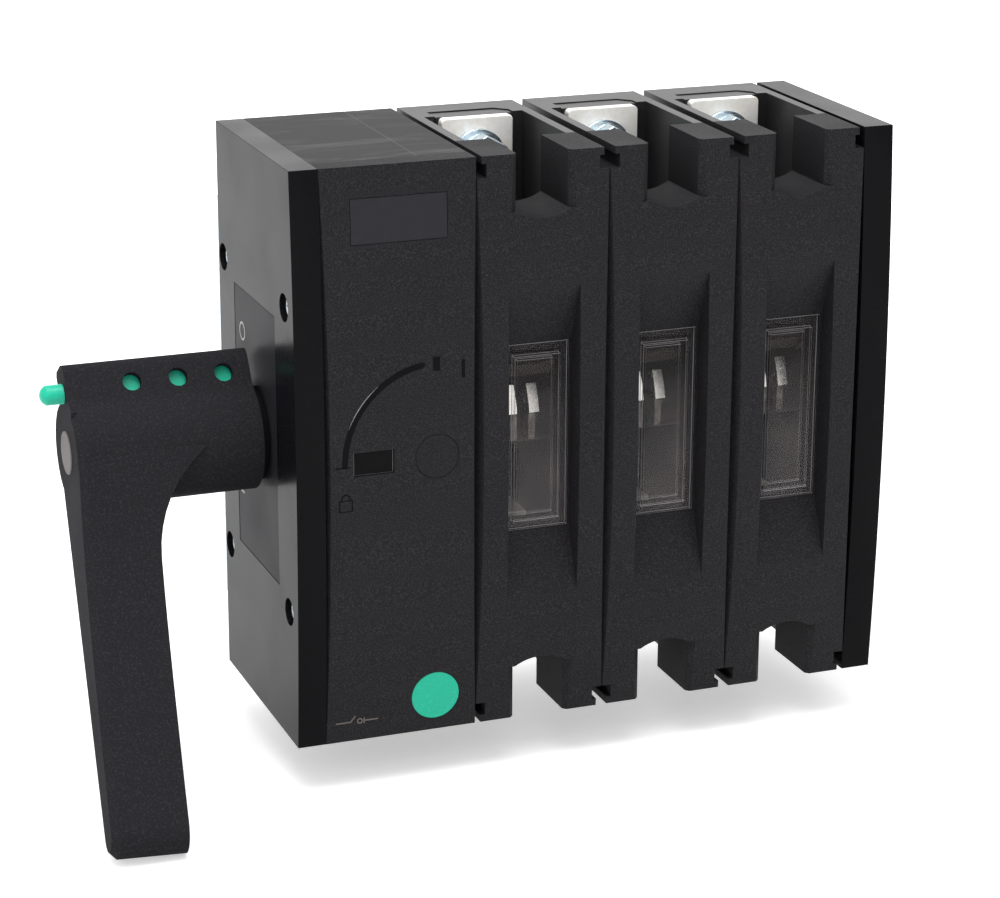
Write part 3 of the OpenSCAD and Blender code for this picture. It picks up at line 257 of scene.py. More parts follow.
def plated_metal(name, colour, second, roughness, cloud_mm, grain_mm=0.35, grain_depth_mm=0.006):
    """Plated metal: two close colours mixed by a slow noise, and a fine crystal grain in the bump."""
    material, tree, shader = new_material(name)
    where = add_node(tree, "ShaderNodeTexCoord")
    cloud = add_node(tree, "ShaderNodeTexNoise",
                     {"Scale": 1 / (cloud_mm * MM), "Detail": 4.0, "Roughness": 0.6},
                     {"Vector": where.outputs["Object"]})
    grain = add_node(tree, "ShaderNodeTexNoise", {"Scale": 1 / (grain_mm * MM), "Detail": 2.0},
                     {"Vector": where.outputs["Object"]})
    spread = add_node(tree, "ShaderNodeMapRange", {"From Min": 0.35, "From Max": 0.65},
                      {"Value": cloud.outputs["Fac"]})
    tint = add_node(tree, "ShaderNodeMix", {"data_type": "RGBA", 6: linear(colour), 7: linear(second)},
                    {"Factor": spread.outputs["Result"]})
    gloss = add_node(tree, "ShaderNodeMapRange", {"To Min": roughness - 0.05, "To Max": roughness + 0.07},
                     {"Value": spread.outputs["Result"]})
    bump = add_node(tree, "ShaderNodeBump", {"Strength": 0.6, "Distance": grain_depth_mm * MM},
                    {"Height": grain.outputs["Fac"]})
    tree.links.new(tint.outputs[2], shader.inputs["Base Color"])
    tree.links.new(gloss.outputs["Result"], shader.inputs["Roughness"])
    tree.links.new(bump.outputs["Normal"], shader.inputs["Normal"])
    shader.inputs["Metallic"].default_value = 1.0
    return material


# %% [markdown]
# A bar that was drawn through a die has no crystal grain. It keeps the marks of the die, lines that run
# along it for many times their width, so its noise is stretched along the bar.

# %% Drawn steel
DRAWN_LINE_STRETCH = 60  # how many times longer than wide a drawing line is


def drawn_steel(name, colour, dark, roughness, line_mm):
    """Drawn steel: a noise stretched along the bar, which lies along X, in the colour, gloss and bump."""
    material, tree, shader = new_material(name)
    where = add_node(tree, "ShaderNodeTexCoord")
    stretch = add_node(tree, "ShaderNodeMapping", {"Scale": (1 / DRAWN_LINE_STRETCH, 1.0, 1.0)},
                       {"Vector": where.outputs["Object"]})
    lines = add_node(tree, "ShaderNodeTexNoise", {"Scale": 1 / (line_mm * MM), "Detail": 3.0},
                     {"Vector": stretch.outputs["Vector"]})
    tint = add_node(tree, "ShaderNodeMix", {"data_type": "RGBA", 6: linear(dark), 7: linear(colour)},
                    {"Factor": lines.outputs["Fac"]})
    gloss = add_node(tree, "ShaderNodeMapRange", {"To Min": roughness + 0.08, "To Max": roughness - 0.04},
                     {"Value": lines.outputs["Fac"]})
    bump = add_node(tree, "ShaderNodeBump", {"Strength": 0.5, "Distance": 0.008 * MM},
                    {"Height": lines.outputs["Fac"]})
    tree.links.new(tint.outputs[2], shader.inputs["Base Color"])
    tree.links.new(gloss.outputs["Result"], shader.inputs["Roughness"])
    tree.links.new(bump.outputs["Normal"], shader.inputs["Normal"])
    shader.inputs["Metallic"].default_value = 1.0
    return material


# %% [markdown]
# The windows are thin clear polycarbonate with a pale haze, which hides part of what lies behind. The haze
# is partly a film of dust and fingerprints, which scatters light, and partly a painted reflection of the
# white table below, so it is thickest low down and nearly gone near the top. A sheet this thin hardly
# bends the view, so it is made see-through by its alpha: the haze's share of the light stays on the
# surface, and the rest passes straight on to the contacts.

# %% Clear plastic
# the haze is partly dust and partly painted reflection of the table; it starts at the first height and is
# full at the second
HAZE_TOP_MM, HAZE_FULL_MM = 20, -12  # the film starts at the first height and is full at the second
HAZE_CLOUD_MM = 14


def clear_polycarbonate():
    """Polycarbonate, IOR 1.585. Haze = a ramp down the height times a slow noise, and the alpha grows with
    it. The haze is partly dust and partly a painted reflection of the table. Its colour drifts from cool to
    warm with the same noise."""
    material, tree, shader = new_material("clear_polycarbonate")
    where = add_node(tree, "ShaderNodeTexCoord")
    place = add_node(tree, "ShaderNodeSeparateXYZ", {}, {"Vector": where.outputs["Object"]})
    down = add_node(tree, "ShaderNodeMapRange",
                    {"From Min": HAZE_TOP_MM * MM, "From Max": HAZE_FULL_MM * MM, "To Min": 0.1},
                    {"Value": place.outputs["Z"]})
    cloud = add_node(tree, "ShaderNodeTexNoise", {"Scale": 1 / (HAZE_CLOUD_MM * MM), "Detail": 3.0},
                     {"Vector": where.outputs["Object"]})
    patch = add_node(tree, "ShaderNodeMapRange",
                     {"From Min": 0.3, "From Max": 0.7, "To Min": 0.6, "To Max": 1.0},
                     {"Value": cloud.outputs["Fac"]})
    # painted reflection and dust: the haze grows downwards, where the pane mirrors the white table
    dust_and_reflection = add_node(tree, "ShaderNodeMath", {"operation": "MULTIPLY"},
                    {0: down.outputs["Result"], 1: patch.outputs["Result"]})
    hold = add_node(tree, "ShaderNodeMapRange", {"To Min": 0.03, "To Max": 0.16},
                    {"Value": dust_and_reflection.outputs["Value"]})
    tint = add_node(tree, "ShaderNodeMix", {"data_type": "RGBA", 6: linear("#77777F"), 7: linear("#90857F")},
                    {"Factor": cloud.outputs["Fac"]})
    tree.links.new(hold.outputs["Result"], shader.inputs["Alpha"])
    tree.links.new(tint.outputs[2], shader.inputs["Base Color"])
    shader.inputs["Roughness"].default_value = 0.06
    shader.inputs["Specular IOR Level"].default_value = 0.5
    shader.inputs["IOR"].default_value = 1.585
    return material


# %% [markdown]
# The arc chutes have cheeks of vulcanised fibre, which is brown when new and charred where the arc has
# been. Only their edges can be seen, deep behind the windows, so charred patches and a faint weave do.

# %% Fibre
CHAR_MM = 7
WEAVE_MM = 5  # a wave texture repeats about every third of its size, so the threads lie 1.6 mm apart


def vulcanised_fibre():
    """Brown fibre, mixed towards black by a noise, with the bump of a bent wave for its weave."""
    material, tree, shader = new_material("vulcanised_fibre")
    where = add_node(tree, "ShaderNodeTexCoord")
    burn = add_node(tree, "ShaderNodeTexNoise", {"Scale": 1 / (CHAR_MM * MM), "Detail": 4.0},
                    {"Vector": where.outputs["Object"]})
    weave = add_node(tree, "ShaderNodeTexWave", {"Scale": 1 / (WEAVE_MM * MM), "Distortion": 1.5},
                     {"Vector": where.outputs["Object"]})
    tint = add_node(tree, "ShaderNodeMix", {"data_type": "RGBA", 6: linear("#1D1917"), 7: linear("#332B26")},
                    {"Factor": burn.outputs["Fac"]})
    bump = add_node(tree, "ShaderNodeBump", {"Strength": 0.4, "Distance": 0.03 * MM},
                    {"Height": weave.outputs["Fac"]})
    tree.links.new(tint.outputs[2], shader.inputs["Base Color"])
    tree.links.new(bump.outputs["Normal"], shader.inputs["Normal"])
    shader.inputs["Roughness"].default_value = 0.75
    return material


# %% [markdown]
# One material for each finish of the part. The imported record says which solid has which. The numbers of
# a moulded plastic are its roughness, the width and depth of its grain in mm, and its specular level.
# Those of a plated metal are its roughness and the size of its clouds in mm.

# %% Materials of the part
GRAIN_MM = 0.45  # the real grain is about 0.2 mm, too fine for the picture, so it is drawn coarser
finishes = {
    # polished mould, black ABS: a satin that mirrors the handle's hub
    "satin_black": moulded_plastic("satin_abs", "#111113", "#151517", 0.24, 0.9, 0.002, 0.037),
    # smooth thermoset, rubbed on shelves and benches: a dull black with pale wisps
    "housing_black": worn_case_plastic(0.2),
    # spark eroded mould: charcoal with pale points, even, no mirror
    "cover_grain": moulded_plastic("spark_grained_polycarbonate", "#1B1A1C", "#3F3D41", 0.6, GRAIN_MM,
                                   0.07, 0.12),
    # glass filled nylon: fibres near the surface make it a little mottled
    "handle_black": moulded_plastic("glass_filled_nylon", "#29292C", "#3A393C", 0.5, 0.7, 0.02, 0.004),
    # printed film, slightly lighter than the plate it sits in
    "label_grey": moulded_plastic("printed_film", "#27272B", "#2C2C30", 0.35, 0.8, 0.004, 0.02),
    # dyed ABS from a polished mould: the one bright colour, with a soft highlight
    "green": moulded_plastic("green_abs", "#17BE9B", "#2BC8A6", 0.35, 1.2, 0.01, 0.3),
    # dyed ABS from a blasted mould: a flat warm grey
    "cap_grey": moulded_plastic("grey_abs", "#74706E", "#7E7977", 0.5, 0.8, 0.015, 0.03),
    # cut sheet, polished: clear above and milky below, where it is dusty and carries a painted reflection of
    # the table
    "clear": clear_polycarbonate(),
    # zinc with blue passivation: bright, cool, with a satin crystal
    "zinc": plated_metal("blue_passivated_zinc", "#D6DDE0", "#BFD0DA", 0.3, 3.0),
    # drawn bar: grey, with fine lines
    "shaft_steel": drawn_steel("drawn_steel", "#B9BBBE", "#8E9094", 0.3, 0.4),
    # wound wire, hardened and oiled: dark grey and brown
    "spring_steel": plated_metal("oiled_spring_steel", "#6A6B70", "#4C4B4E", 0.35, 3.0),
    # silver on milled copper: warm, nearly white, and matt from the milling
    "silver_plate": plated_metal("silver_plated_copper", "#FFFEFB", "#F4F0EA", 0.68, 5.0),
    # turned acetal: a waxy black
    "bush_black": moulded_plastic("turned_acetal", "#121213", "#171718", 0.5, 0.6, 0.004, 0.03),
    # moulded thermoset, unpainted: dark grey
    "rotor_resin": moulded_plastic("rotor_thermoset", "#3A3A3E", "#4A4A4E", 0.45, 0.8, 0.02),
    # pressed fibre, charred by arcs: brown to black
    "chute": vulcanised_fibre(),
}

print(len(finishes), "finishes")

# %% [markdown]
# A few solids differ from the rest of their slot. The mechanism's case is duller than the poles. The
# plate let into the cover is smooth. The heads in the side plate are dull. Sliding has left a dark
# tarnish on the blades. The position window is smoked and shows only a trace of the drum behind it.

# %% Finishes of single solids
case_plastic = worn_case_plastic(0.014)
inlay_plastic = moulded_plastic("satin_insert_plate", "#2B2A2E", "#313034", 0.4, 0.6, 0.004, 0.1)
dull_zinc = plated_metal("dull_zinc", "#E2E6E8", "#CED6DA", 0.6, 3.0)
smoked_sheet = moulded_plastic("smoked_polycarbonate", "#0A0A0B", "#121111", 0.12, 0.8, 0.002, 0.05)
smoked_sheet.node_tree.nodes["Principled BSDF"].inputs["Alpha"].default_value = 0.97
tarnished_silver = plated_metal("tarnished_silver", "#6E6A66", "#4E4A48", 0.45, 3.0)
OWN_FINISH = {"mech_case_left": case_plastic, "mech_case_right": case_plastic, "name_plate": inlay_plastic,
              "tie_bolts": dull_zinc, "position_window": smoked_sheet}
OWN_FINISH |= {f"moving_blades_{pole}": tarnished_silver for pole in (1, 2, 3)}
for entry in frame["record"]["subparts"]:
    mesh = nodes[entry["node"]].data
    mesh.materials.clear()
    mesh.materials.append(OWN_FINISH.get(entry["node"], finishes[entry["material_slot"]]))
print(len(OWN_FINISH), "solids have a finish of their own")

# %% [markdown]
# No moulded or machined edge is sharp. A bevel on the solids gives every edge the thin highlight that a
# real one shows. The solids come as loose triangles, so their corners are welded and flat areas are made
# one face each, before the bevel. The covers keep their triangles, because a face can't have the window's
# hole in it. The bars and bolts of the terminals have the largest rounds.

# %% Soft edges on the solids
WELD_MM = 0.002
FLAT_DEG = 0.3
SHARP_DEG = 28
EDGE_MM = {"handle_grip": 0.35, "mech_cover": 0.35, "side_plate": 0.3, "end_plate": 0.3, "lock_slide": 0.3,
           "handle_cap": 0.4, "shaft_bush": 0.3, "pole_cover": 0.4, "pole_base": 0.25, "mech_case": 0.3,
           "upper_contact": 0.5, "lower_contact": 0.5, "mounting_rail": 0.3,
           "terminal_washers": 0.25, "terminal_bolts": 0.5, "nut_holders": 0.3}


def weld_corners(solid):
    """Join the corners of the loose triangles."""
    solid.modifiers.new("weld", "WELD").merge_threshold = WELD_MM * MM


def bevel_edges(solid, width_mm, steps):
    """A bevel of some width and number of steps on every edge that turns by more than SHARP_DEG."""
    bevel = solid.modifiers.new("round", "BEVEL")
    bevel.width = width_mm * MM
    bevel.segments = steps
    bevel.limit_method = "ANGLE"
    bevel.angle_limit = math.radians(SHARP_DEG)
    bevel.use_clamp_overlap = True
    return bevel


def soften(name, width_mm):
    """Weld, one face for each flat area except on the covers, then a round of three steps whose ends keep
    the flats flat.
    """
    solid = nodes[name]
    weld_corners(solid)
    if "cover" not in name:
        flat = solid.modifiers.new("flat", "DECIMATE")
        flat.decimate_type = "DISSOLVE"
        flat.angle_limit = math.radians(FLAT_DEG)
    bevel = bevel_edges(solid, width_mm, 3)
    bevel.harden_normals = True
    bevel.miter_outer = "MITER_ARC"


rounded = {name: width_mm for name in nodes for key, width_mm in EDGE_MM.items() if name.startswith(key)}
for name, width_mm in rounded.items():
    soften(name, width_mm)
print(len(rounded), "solids rounded")

# %% [markdown]
# A window lies on its seat, and two surfaces in exactly the same place can't both be drawn. A displace
# modifier draws each window in by a twentieth of a millimetre, the play that a real one has. The edges of
# a clear sheet gather the light, so they get a narrow bevel painted pale as a highlight: a bevel can give
# its new faces the mesh's second material.

# %% Play and painted edge highlights of the windows
WINDOW_PLAY_MM = 0.05
PANE_EDGE_MM = 0.16
# painted highlight: the pale grey on the pane edges stands for the light that a clear sheet's edges gather
pane_edge_highlight = moulded_plastic("painted_pane_edge_highlight", "#8C8A8D", "#A09EA1", 0.3, 0.5, 0.002, 0.3)
windows = [name for name in nodes if "window" in name]
for name in windows:
    window = nodes[name]
    weld_corners(window)
    play = window.modifiers.new("play", "DISPLACE")
    play.mid_level = 0
    play.strength = -WINDOW_PLAY_MM * MM
    window.data.materials.append(pane_edge_highlight)
    bevel_edges(window, PANE_EDGE_MM, 1).material = 1
print(len(windows), "windows")

# %% [markdown]
# The lever's flank and tip are curved, but the solid has them as narrow flats. Node modifiers can shade
# them round: every face is set smooth before the bevel, and the normals are weighted by area after it,
# so the large flats stay flat and the narrow ones melt into a curve.

# %% Round shading for the handle


def shade_smooth(solid):
    """A geometry node group before the bevel, which forgets the stored normals and sets every face smooth,
    and weighted normals after it."""
    group = bpy.data.node_groups.new("shade_smooth", "GeometryNodeTree")
    group.interface.new_socket("Geometry", in_out="INPUT", socket_type="NodeSocketGeometry")
    group.interface.new_socket("Geometry", in_out="OUTPUT", socket_type="NodeSocketGeometry")
    start = add_node(group, "NodeGroupInput")
    plain = add_node(group, "GeometryNodeRemoveAttribute", {"Name": "custom_normal"},
                     {"Geometry": start.outputs[0]})
    smooth = add_node(group, "GeometryNodeSetShadeSmooth", {"Shade Smooth": True},
                      {"Geometry": plain.outputs[0]})
    add_node(group, "NodeGroupOutput", {}, {"Geometry": smooth.outputs[0]})
    modifier = solid.modifiers.new("smooth", "NODES")
    modifier.node_group = group
    solid.modifiers.move(len(solid.modifiers) - 1, solid.modifiers.find("round"))
    solid.modifiers["round"].harden_normals = False
    weighted = solid.modifiers.new("weighted", "WEIGHTED_NORMAL")
    weighted.weight = 100
    weighted.keep_sharp = False


shade_smooth(nodes["handle_grip"])
print("handle:", [modifier.type for modifier in nodes["handle_grip"].modifiers])

# %% [markdown]
# The fine marks are thin closed plates. Each is a grid of points on the surface that carries it, lifted
# by less than a tenth of a millimetre, and the same grid pushed inwards, joined along the rim. A mark
# pressed into the mould is drawn in a dark colour that is painted shade, the shade in its groove, and a
# printed one in ink.

# %% Thin plates
INK_LIFT, INK_DEPTH = 0.03, 0.1
GROOVE_LIFT, GROOVE_DEPTH = 0.02, 0.15
FRONT, LEFT = (0, -1, 0), (-1, 0, 0)


def plate(name, grid, outward, depth, material, ring=False, body="housing"):
    """A closed plate in mm: outer side = the grid, inner side = the grid minus outward times the depth. The
    rim is walled, and in a ring the last column meets the first."""
    rows, columns = grid.shape[:2]
    outer = grid.reshape(-1, 3)
    points = np.concatenate([outer, outer - np.array(outward) * depth]) * MM
    index = np.arange(rows * columns).reshape(rows, columns)
    if ring:
        index = np.column_stack([index, index[:, :1]])
    quads = np.stack([index[:-1, :-1], index[1:, :-1], index[1:, 1:], index[:-1, 1:]], -1).reshape(-1, 4)
    rims = [index[0], index[-1]] if ring else [index[0], index[-1], index[:, 0], index[:, -1]]
    walls = np.concatenate([np.stack([rim[:-1], rim[1:], rim[1:] + len(outer), rim[:-1] + len(outer)], -1)
                            for rim in rims])
    faces = np.concatenate([quads, quads[:, ::-1] + len(outer), walls])
    mesh = bpy.data.meshes.new(name)
    mesh.from_pydata(points.tolist(), [], faces.tolist())
    shell = bmesh.new()
    shell.from_mesh(mesh)
    bmesh.ops.recalc_face_normals(shell, faces=shell.faces)
    shell.to_mesh(mesh)
    shell.free()
    mesh.materials.append(material)
    piece = bpy.data.objects.new(name, mesh)
    bpy.context.scene.collection.objects.link(piece)
    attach(piece, body)


# %% [markdown]
# A mark starts as a flat path. Two copies of it, moved half a line's width to either side, are the two
# rows of a plate's grid. The grid is then laid on the bulged front or on the side label.

# %% Lines and where they lie


def stroke(path, half_width):
    """Both edges of a line of some width along a flat path: the path plus and minus its normal."""
    path = np.array(path, float)
    along = np.gradient(path, axis=0)
    along /= np.linalg.norm(along, axis=1, keepdims=True)
    normal = np.stack([-along[:, 1], along[:, 0]], -1) * np.reshape(half_width, (-1, 1))
    return np.stack([path + normal, path - normal])


def ring_path(centre, radius, count=40):
    """Points round a circle, the last one before the first."""
    turn = np.linspace(0, 2 * math.pi, count, endpoint=False)
    return np.stack([centre[0] + radius * np.cos(turn), centre[1] + radius * np.sin(turn)], -1)


def on_front(flat, lift):
    """Flat x, z points laid on the bulged front and lifted off it."""
    return np.stack([flat[..., 0], front_y(flat[..., 1]) - lift, flat[..., 1]], -1)


def on_label(flat, lift):
    """Flat y, z points laid on the side label's outer face and lifted off it."""
    return np.stack([np.full(flat.shape[:-1], LABEL_X - lift), flat[..., 0], flat[..., 1]], -1)


# %% [markdown]
# On the cover there are a long arc from the position window to two short dashes, which shows how far the
# handle turns, a tick beside the window and the outline of a padlock, all pressed into the mould and
# drawn in painted shade. The upper left side of the arc is drawn as a thin pale line, a painted highlight
# where its rim catches the light.

# %% Marks pressed into the mechanism cover
# painted shade: the pressed marks are drawn darker than the cover for the shade inside their grooves
groove_painted_shade = moulded_plastic("groove_shade", "#151516", "#19191A", 0.6, 0.5, 0.004, 0.02)
# painted highlight: a pale grey for the light that the arc's upper left rim catches
arc_highlight_paint = moulded_plastic("painted_arc_highlight", "#8E8C8E", "#A3A1A3", 0.5, 0.5, 0.004, 0.1)


def press(name, flat, ring=False):
    """A pressed mark from flat x, z points, drawn in painted shade for the shade in its groove."""
    plate(name, on_front(flat, GROOVE_LIFT), FRONT, GROOVE_DEPTH, groove_painted_shade, ring)


def arc_path(radius, start_deg, end_deg, count):
    """Points on a circle round the plug, from one angle to another."""
    turn = np.linspace(math.radians(start_deg), math.radians(end_deg), count)
    return np.stack([PLUG_X + radius * np.cos(turn), radius * np.sin(turn)], -1)


ARC_RADIUS, ARC_HALF_WIDTH, ARC_POINTS = 34.2, 1.1, 60
ARC_DEG = (182, 97)
round_ends = np.sqrt(1 - np.linspace(-1, 1, ARC_POINTS) ** 40)  # one along the arc, nothing at its ends
press("turning_arc", stroke(arc_path(ARC_RADIUS, *ARC_DEG, ARC_POINTS), ARC_HALF_WIDTH * round_ends + 0.02))

# painted highlight along the upper left rim of the arc, widest in its middle and fading to both ends
RIM_DEG, RIM_POINTS = (158, 128), 24
fading = 0.03 + 0.13 * np.sin(np.linspace(0, math.pi, RIM_POINTS))
lit = stroke(arc_path(ARC_RADIUS + 1, *RIM_DEG, RIM_POINTS), fading)
plate("arc_rim_painted_highlight", on_front(lit, INK_LIFT), FRONT, INK_DEPTH, arc_highlight_paint)

DASHES = {  # name: path in x, z and half width
    "dash_on": ([(-62.7, 31.3), (-62.7, 33.8), (-62.7, 36.4)], 1.3),
    "dash_trip": ([(-52.8, 28.0), (-52.8, 31.2), (-52.8, 34.5)], 0.65),
    "window_tick": ([(-100.3, -0.6), (-97.6, -0.6), (-94.9, -0.6)], 0.3),
}
for name, (path, half_width) in DASHES.items():
    press(name, stroke(path, half_width))

PADLOCK = (-96.6, -14.8)
PADLOCK_HALF_W, PADLOCK_HALF_H = 2.6, 2.2
BOW_HALF_W, BOW_H = 1.7, 2.0
bow = np.linspace(math.pi, 0, 16)
shackle = np.stack([PADLOCK[0] + BOW_HALF_W * np.cos(bow),
                    PADLOCK[1] + PADLOCK_HALF_H + BOW_H * np.sin(bow)], -1)
press("padlock_bow", stroke(shackle, 0.3))
corners = np.array([(-1, -1), (1, -1), (1, 1), (-1, 1)]) * (PADLOCK_HALF_W, PADLOCK_HALF_H)
press("padlock_body", np.stack([PADLOCK + corners, PADLOCK + corners * 0.8]), ring=True)
print("marks pressed into the cover:", len(DASHES) + 3)

# %% [markdown]
# Low on the cover the line drawing of a switch contact is printed: two wires, a blade that stands open
# and its pivot. Ink lies on the surface, so its plates are lifted a little more than the grooves.

# %% Line drawing printed on the mechanism cover
pale_ink = moulded_plastic("pale_pad_print", "#6E6661", "#77706B", 0.6, 0.4, 0.01, 0.2)
SYMBOL_Z = -98.0
LINE_HALF_WIDTH = 0.24
INK_LINES = {
    "symbol_left": [(-100.4, SYMBOL_Z), (-97.5, SYMBOL_Z), (-94.6, SYMBOL_Z)],
    "symbol_blade": [(-94.9, SYMBOL_Z), (-94.0, SYMBOL_Z + 1.1), (-93.1, SYMBOL_Z + 2.2)],
    "symbol_tick": [(-89.8, SYMBOL_Z - 1.1), (-89.8, SYMBOL_Z), (-89.8, SYMBOL_Z + 1.1)],
    "symbol_right": [(-89.8, SYMBOL_Z), (-87.2, SYMBOL_Z), (-84.6, SYMBOL_Z)],
}
for name, path in INK_LINES.items():
    line = stroke(path, LINE_HALF_WIDTH)
    plate(name, on_front(line, INK_LIFT), FRONT, INK_DEPTH, pale_ink)
PIVOT_RADII = (1.1, 0.65)
pivot = np.stack([ring_path((-91.4, SYMBOL_Z), radius) for radius in PIVOT_RADII])
plate("symbol_pivot", on_front(pivot, INK_LIFT), FRONT, INK_DEPTH, pale_ink, ring=True)
print("printed lines:", len(INK_LINES) + 1)

# %% [markdown]
# The two halves of the mechanism case meet on its top and underside. The parting line has a fine rim of
# flash, drawn as a pale line that is painted highlight, the light that the thin ridge catches.

# %% Parting lines
# painted highlight: the pale grey stands for the light that the thin ridge of flash catches
flash_highlight = moulded_plastic("painted_flash_highlight", "#565453", "#858280", 0.5, 1.6, 0.01, 0.1)
FLASH_LIFT, FLASH_DEPTH, FLASH_HALF_WIDTH = 0.02, 0.1, 0.1
case_low, case_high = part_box("mech_case_left")
JOINT_X = case_high.x / MM
case_back, case_front = case_high.y / MM, cover_high.y / MM
seam = stroke([(JOINT_X, case_front), (JOINT_X, (case_front + case_back) / 2), (JOINT_X, case_back)],
              FLASH_HALF_WIDTH)
for side, edge, up in (("top", case_high.z, 1), ("underside", case_low.z, -1)):
    height = np.full(seam.shape[:-1], edge / MM + up * FLASH_LIFT)
    line = np.stack([seam[..., 0], seam[..., 1], height], -1)
    plate(f"parting_line_{side}", line, (0, 0, up), FLASH_DEPTH, flash_highlight)
print("parting line at x", round(JOINT_X, 1))

# %% [markdown]
# The side label says where the handle stands: a ring for OFF above it and a bar for ON below it, both
# printed in a light grey.

# %% Marks on the side label
white_ink = moulded_plastic("white_pad_print", "#B4B2B0", "#BEBCBA", 0.55, 0.4, 0.01, 0.3)
OFF_AT, OFF_RADII = (-31.3, 33.7), (3.5, 2.75)
ON_AT = (-26.3, -28.8)
off = np.stack([ring_path(OFF_AT, radius) for radius in OFF_RADII])
plate("mark_off", on_label(off, INK_LIFT), LEFT, INK_DEPTH, white_ink, ring=True)
on = stroke([(ON_AT[0] - 3.2, ON_AT[1]), ON_AT, (ON_AT[0] + 3.1, ON_AT[1])], 0.4)
plate("mark_on", on_label(on, INK_LIFT), LEFT, INK_DEPTH, white_ink)
print("marks on the side label: 2")

# %% [markdown]
# Behind each window the ends of the two moving blades can be seen. They carry arcing tips, small silver
# blocks that leave the fixed knife last and take the arc's heat. The outer face follows the circle that
# the tip sweeps, just inside the splitter plates of the arc chute.

# %% Arcing tips
bright_silver = plated_metal("bright_silver", "#FFFDF8", "#F6F2EC", 0.22, 3.0, 0.3, 0.002)
AXIS_Y = (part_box("main_shaft")[0].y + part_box("main_shaft")[1].y) / 2 / MM
TIP_RADIUS = 28.1
TIP_DEPTH = 5.0
TIP_SIDES = {"left": (-6.2, -2.4), "right": (2.4, 6.2)}
TIP_START_DEG = {"front": 11, "rear": 191}
TIP_SPAN_DEG = 22
TIP_ROWS = 12


def arcing_tip(name, x_low, x_high, start_deg):
    """A slab between two radii: x runs across in 2 columns, and the angle from the front upwards in rows."""
    turn = np.radians(np.linspace(start_deg, start_deg + TIP_SPAN_DEG, TIP_ROWS))
    arm = np.stack([np.zeros(TIP_ROWS), -np.cos(turn), np.sin(turn)], -1)
    axis_points = np.array([[x_low, AXIS_Y, 0], [x_high, AXIS_Y, 0]])
    outer = axis_points[None] + arm[:, None] * TIP_RADIUS
    plate(name, outer, arm[:, None].repeat(2, 1).reshape(-1, 3), TIP_DEPTH, bright_silver,
          body="contact_shaft")


for pole in (1, 2, 3):
    blades_low, blades_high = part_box(f"moving_blades_{pole}")
    middle = (blades_low.x + blades_high.x) / 2 / MM
    for side, (x_low, x_high) in TIP_SIDES.items():
        for end, start_deg in TIP_START_DEG.items():
            arcing_tip(f"arcing_tip_{end}_{side}_{pole}", middle + x_low, middle + x_high, start_deg)
print("arcing tips reach a radius of", TIP_RADIUS, "mm")

# %% [markdown]
# The set is a white table in a white room. The camera, mirrors and glass see it as plain white, while
# the light that reaches a dull surface grows from the front, where the photographer stands, to the back,
# above and to the left. So the tops and the left side are pale and the fronts stay nearly black. Close to
# the part the table glows less, so that it keeps the shadow.

# %% White table
TABLE_Z = cad_low.z - 0.2 * MM
TABLE_HALF_M = 6.0
GLOW_FROM_M, GLOW_FULL_M = 0.2, 0.7


def seen_directly(tree):
    """1 for the rays that show the set itself: from the camera, from gloss and through glass."""
    ray = add_node(tree, "ShaderNodeLightPath")
    shown = add_node(tree, "ShaderNodeMath", {"operation": "MAXIMUM"},
                     {0: ray.outputs["Is Camera Ray"], 1: ray.outputs["Is Glossy Ray"]})
    return add_node(tree, "ShaderNodeMath", {"operation": "MAXIMUM"},
                    {0: shown.outputs["Value"], 1: ray.outputs["Is Transmission Ray"]})


def white_table():
    """White laminate. Near the part it is lit by the lamps and the room, further off it glows white."""
    material, tree, shader = new_material("white_laminate")
    where = add_node(tree, "ShaderNodeTexCoord")
    far = add_node(tree, "ShaderNodeVectorMath", {"operation": "LENGTH"}, {0: where.outputs["Object"]})
    glow = add_node(tree, "ShaderNodeMapRange",
                    {"From Min": GLOW_FROM_M, "From Max": GLOW_FULL_M, "To Min": 0.45, "To Max": 1.0},
                    {"Value": far.outputs["Value"]})
    shown = add_node(tree, "ShaderNodeMath", {"operation": "MULTIPLY"},
                     {0: glow.outputs["Result"], 1: seen_directly(tree).outputs["Value"]})
    tree.links.new(shown.outputs["Value"], shader.inputs["Emission Strength"])
    shader.inputs["Emission Color"].default_value = (1, 1, 1, 1)
    shader.inputs["Base Color"].default_value = linear("#F4F4F4")
    shader.inputs["Roughness"].default_value = 0.9
    shader.inputs["Specular IOR Level"].default_value = 0.1
    return material


table_mesh = bpy.data.meshes.new("table_top")
table_corners = [(-TABLE_HALF_M, -TABLE_HALF_M, TABLE_Z), (TABLE_HALF_M, -TABLE_HALF_M, TABLE_Z),
                 (TABLE_HALF_M, TABLE_HALF_M, TABLE_Z), (-TABLE_HALF_M, TABLE_HALF_M, TABLE_Z)]
table_mesh.from_pydata(table_corners, [], [(0, 1, 2, 3)])
table_top = bpy.data.objects.new("table_top", table_mesh)
bpy.context.scene.collection.objects.link(table_top)
table_mesh.materials.append(white_table())
print("table at z", round(TABLE_Z / MM, 1), "mm")

# %% [markdown]
# The room is the world. A dot product with one direction says how far a ray looks to the bright side, and
# the strength grows with it. Four soft lamps add what a photographer would: a large one above, a weak one
# behind for the tops, one at the left for the side plate, and a small one in front.

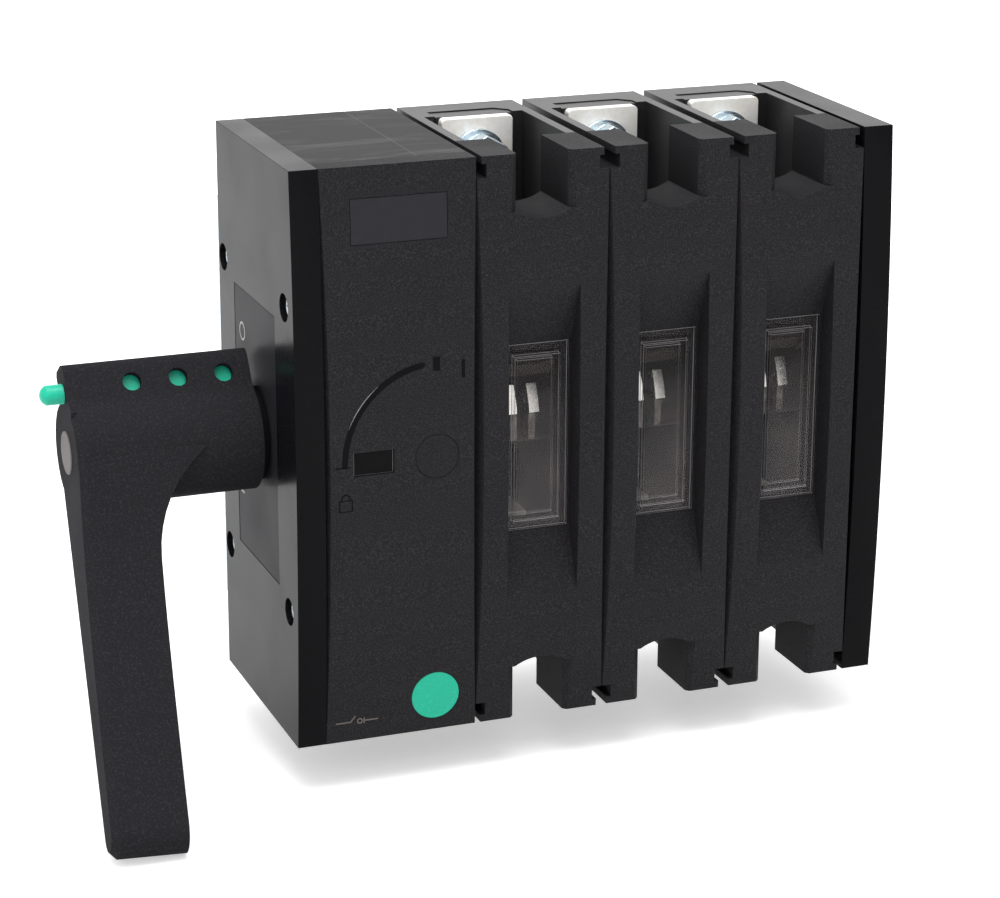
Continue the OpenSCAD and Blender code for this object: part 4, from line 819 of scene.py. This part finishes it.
# %% Room and lamps
BRIGHT_SIDE = (-0.1, 0.6, 0.75)
world = bpy.data.worlds.new("studio")
bpy.context.scene.world = world
world.use_nodes = True
sky = world.node_tree
sky.nodes.clear()
towards = add_node(sky, "ShaderNodeTexCoord")
lean = add_node(sky, "ShaderNodeVectorMath", {"operation": "DOT_PRODUCT", 1: BRIGHT_SIDE},
                {0: towards.outputs["Generated"]})
strength = add_node(sky, "ShaderNodeMapRange",
                    {"From Min": -0.5, "From Max": 0.5, "To Min": 0.05, "To Max": 1.0},
                    {"Value": lean.outputs["Value"]})
white = add_node(sky, "ShaderNodeBackground", {"Color": (1, 1, 1, 1), "Strength": 1.0})
room = add_node(sky, "ShaderNodeBackground", {"Color": (1, 1, 1, 1)},
                {"Strength": strength.outputs["Result"]})
choose = add_node(sky, "ShaderNodeMixShader", {},
                  {0: seen_directly(sky).outputs["Value"], 1: room.outputs["Background"],
                   2: white.outputs["Background"]})
add_node(sky, "ShaderNodeOutputWorld", links={"Surface": choose.outputs["Shader"]})


def soft_lamp(name, at, aim, size, watts):
    """A rectangular lamp at a place, turned to face another, both in metres."""
    data = bpy.data.lights.new(name, "AREA")
    data.shape = "RECTANGLE"
    data.size, data.size_y = size
    data.energy = watts
    lamp = bpy.data.objects.new(name, data)
    bpy.context.scene.collection.objects.link(lamp)
    lamp.matrix_world = (Matrix.Translation(at)
                         @ (Vector(at) - Vector(aim)).to_track_quat("Z", "Y").to_matrix().to_4x4())


LAMPS = {  # name: place, what it faces, width and height, watts
    "lamp_above": ((-0.2, -0.3, 1.1), (0, 0, 0.1), (0.8, 0.6), 9),
    "lamp_behind": ((0.5, 1.4, 0.6), (0, 0, 0.1), (1.4, 0.6), 2.5),
    "lamp_left": ((-1.5, -0.1, 0.5), (0, 0, 0), (1.0, 1.0), 0.7),
    "lamp_front": ((-0.3, -1.2, 0.9), (0, 0, 0), (0.6, 0.6), 2),
}
for name, (at, aim, size, watts) in LAMPS.items():
    soft_lamp(name, at, aim, size, watts)
bpy.context.scene.view_settings.view_transform = "Standard"
print(len(LAMPS), "lamps")
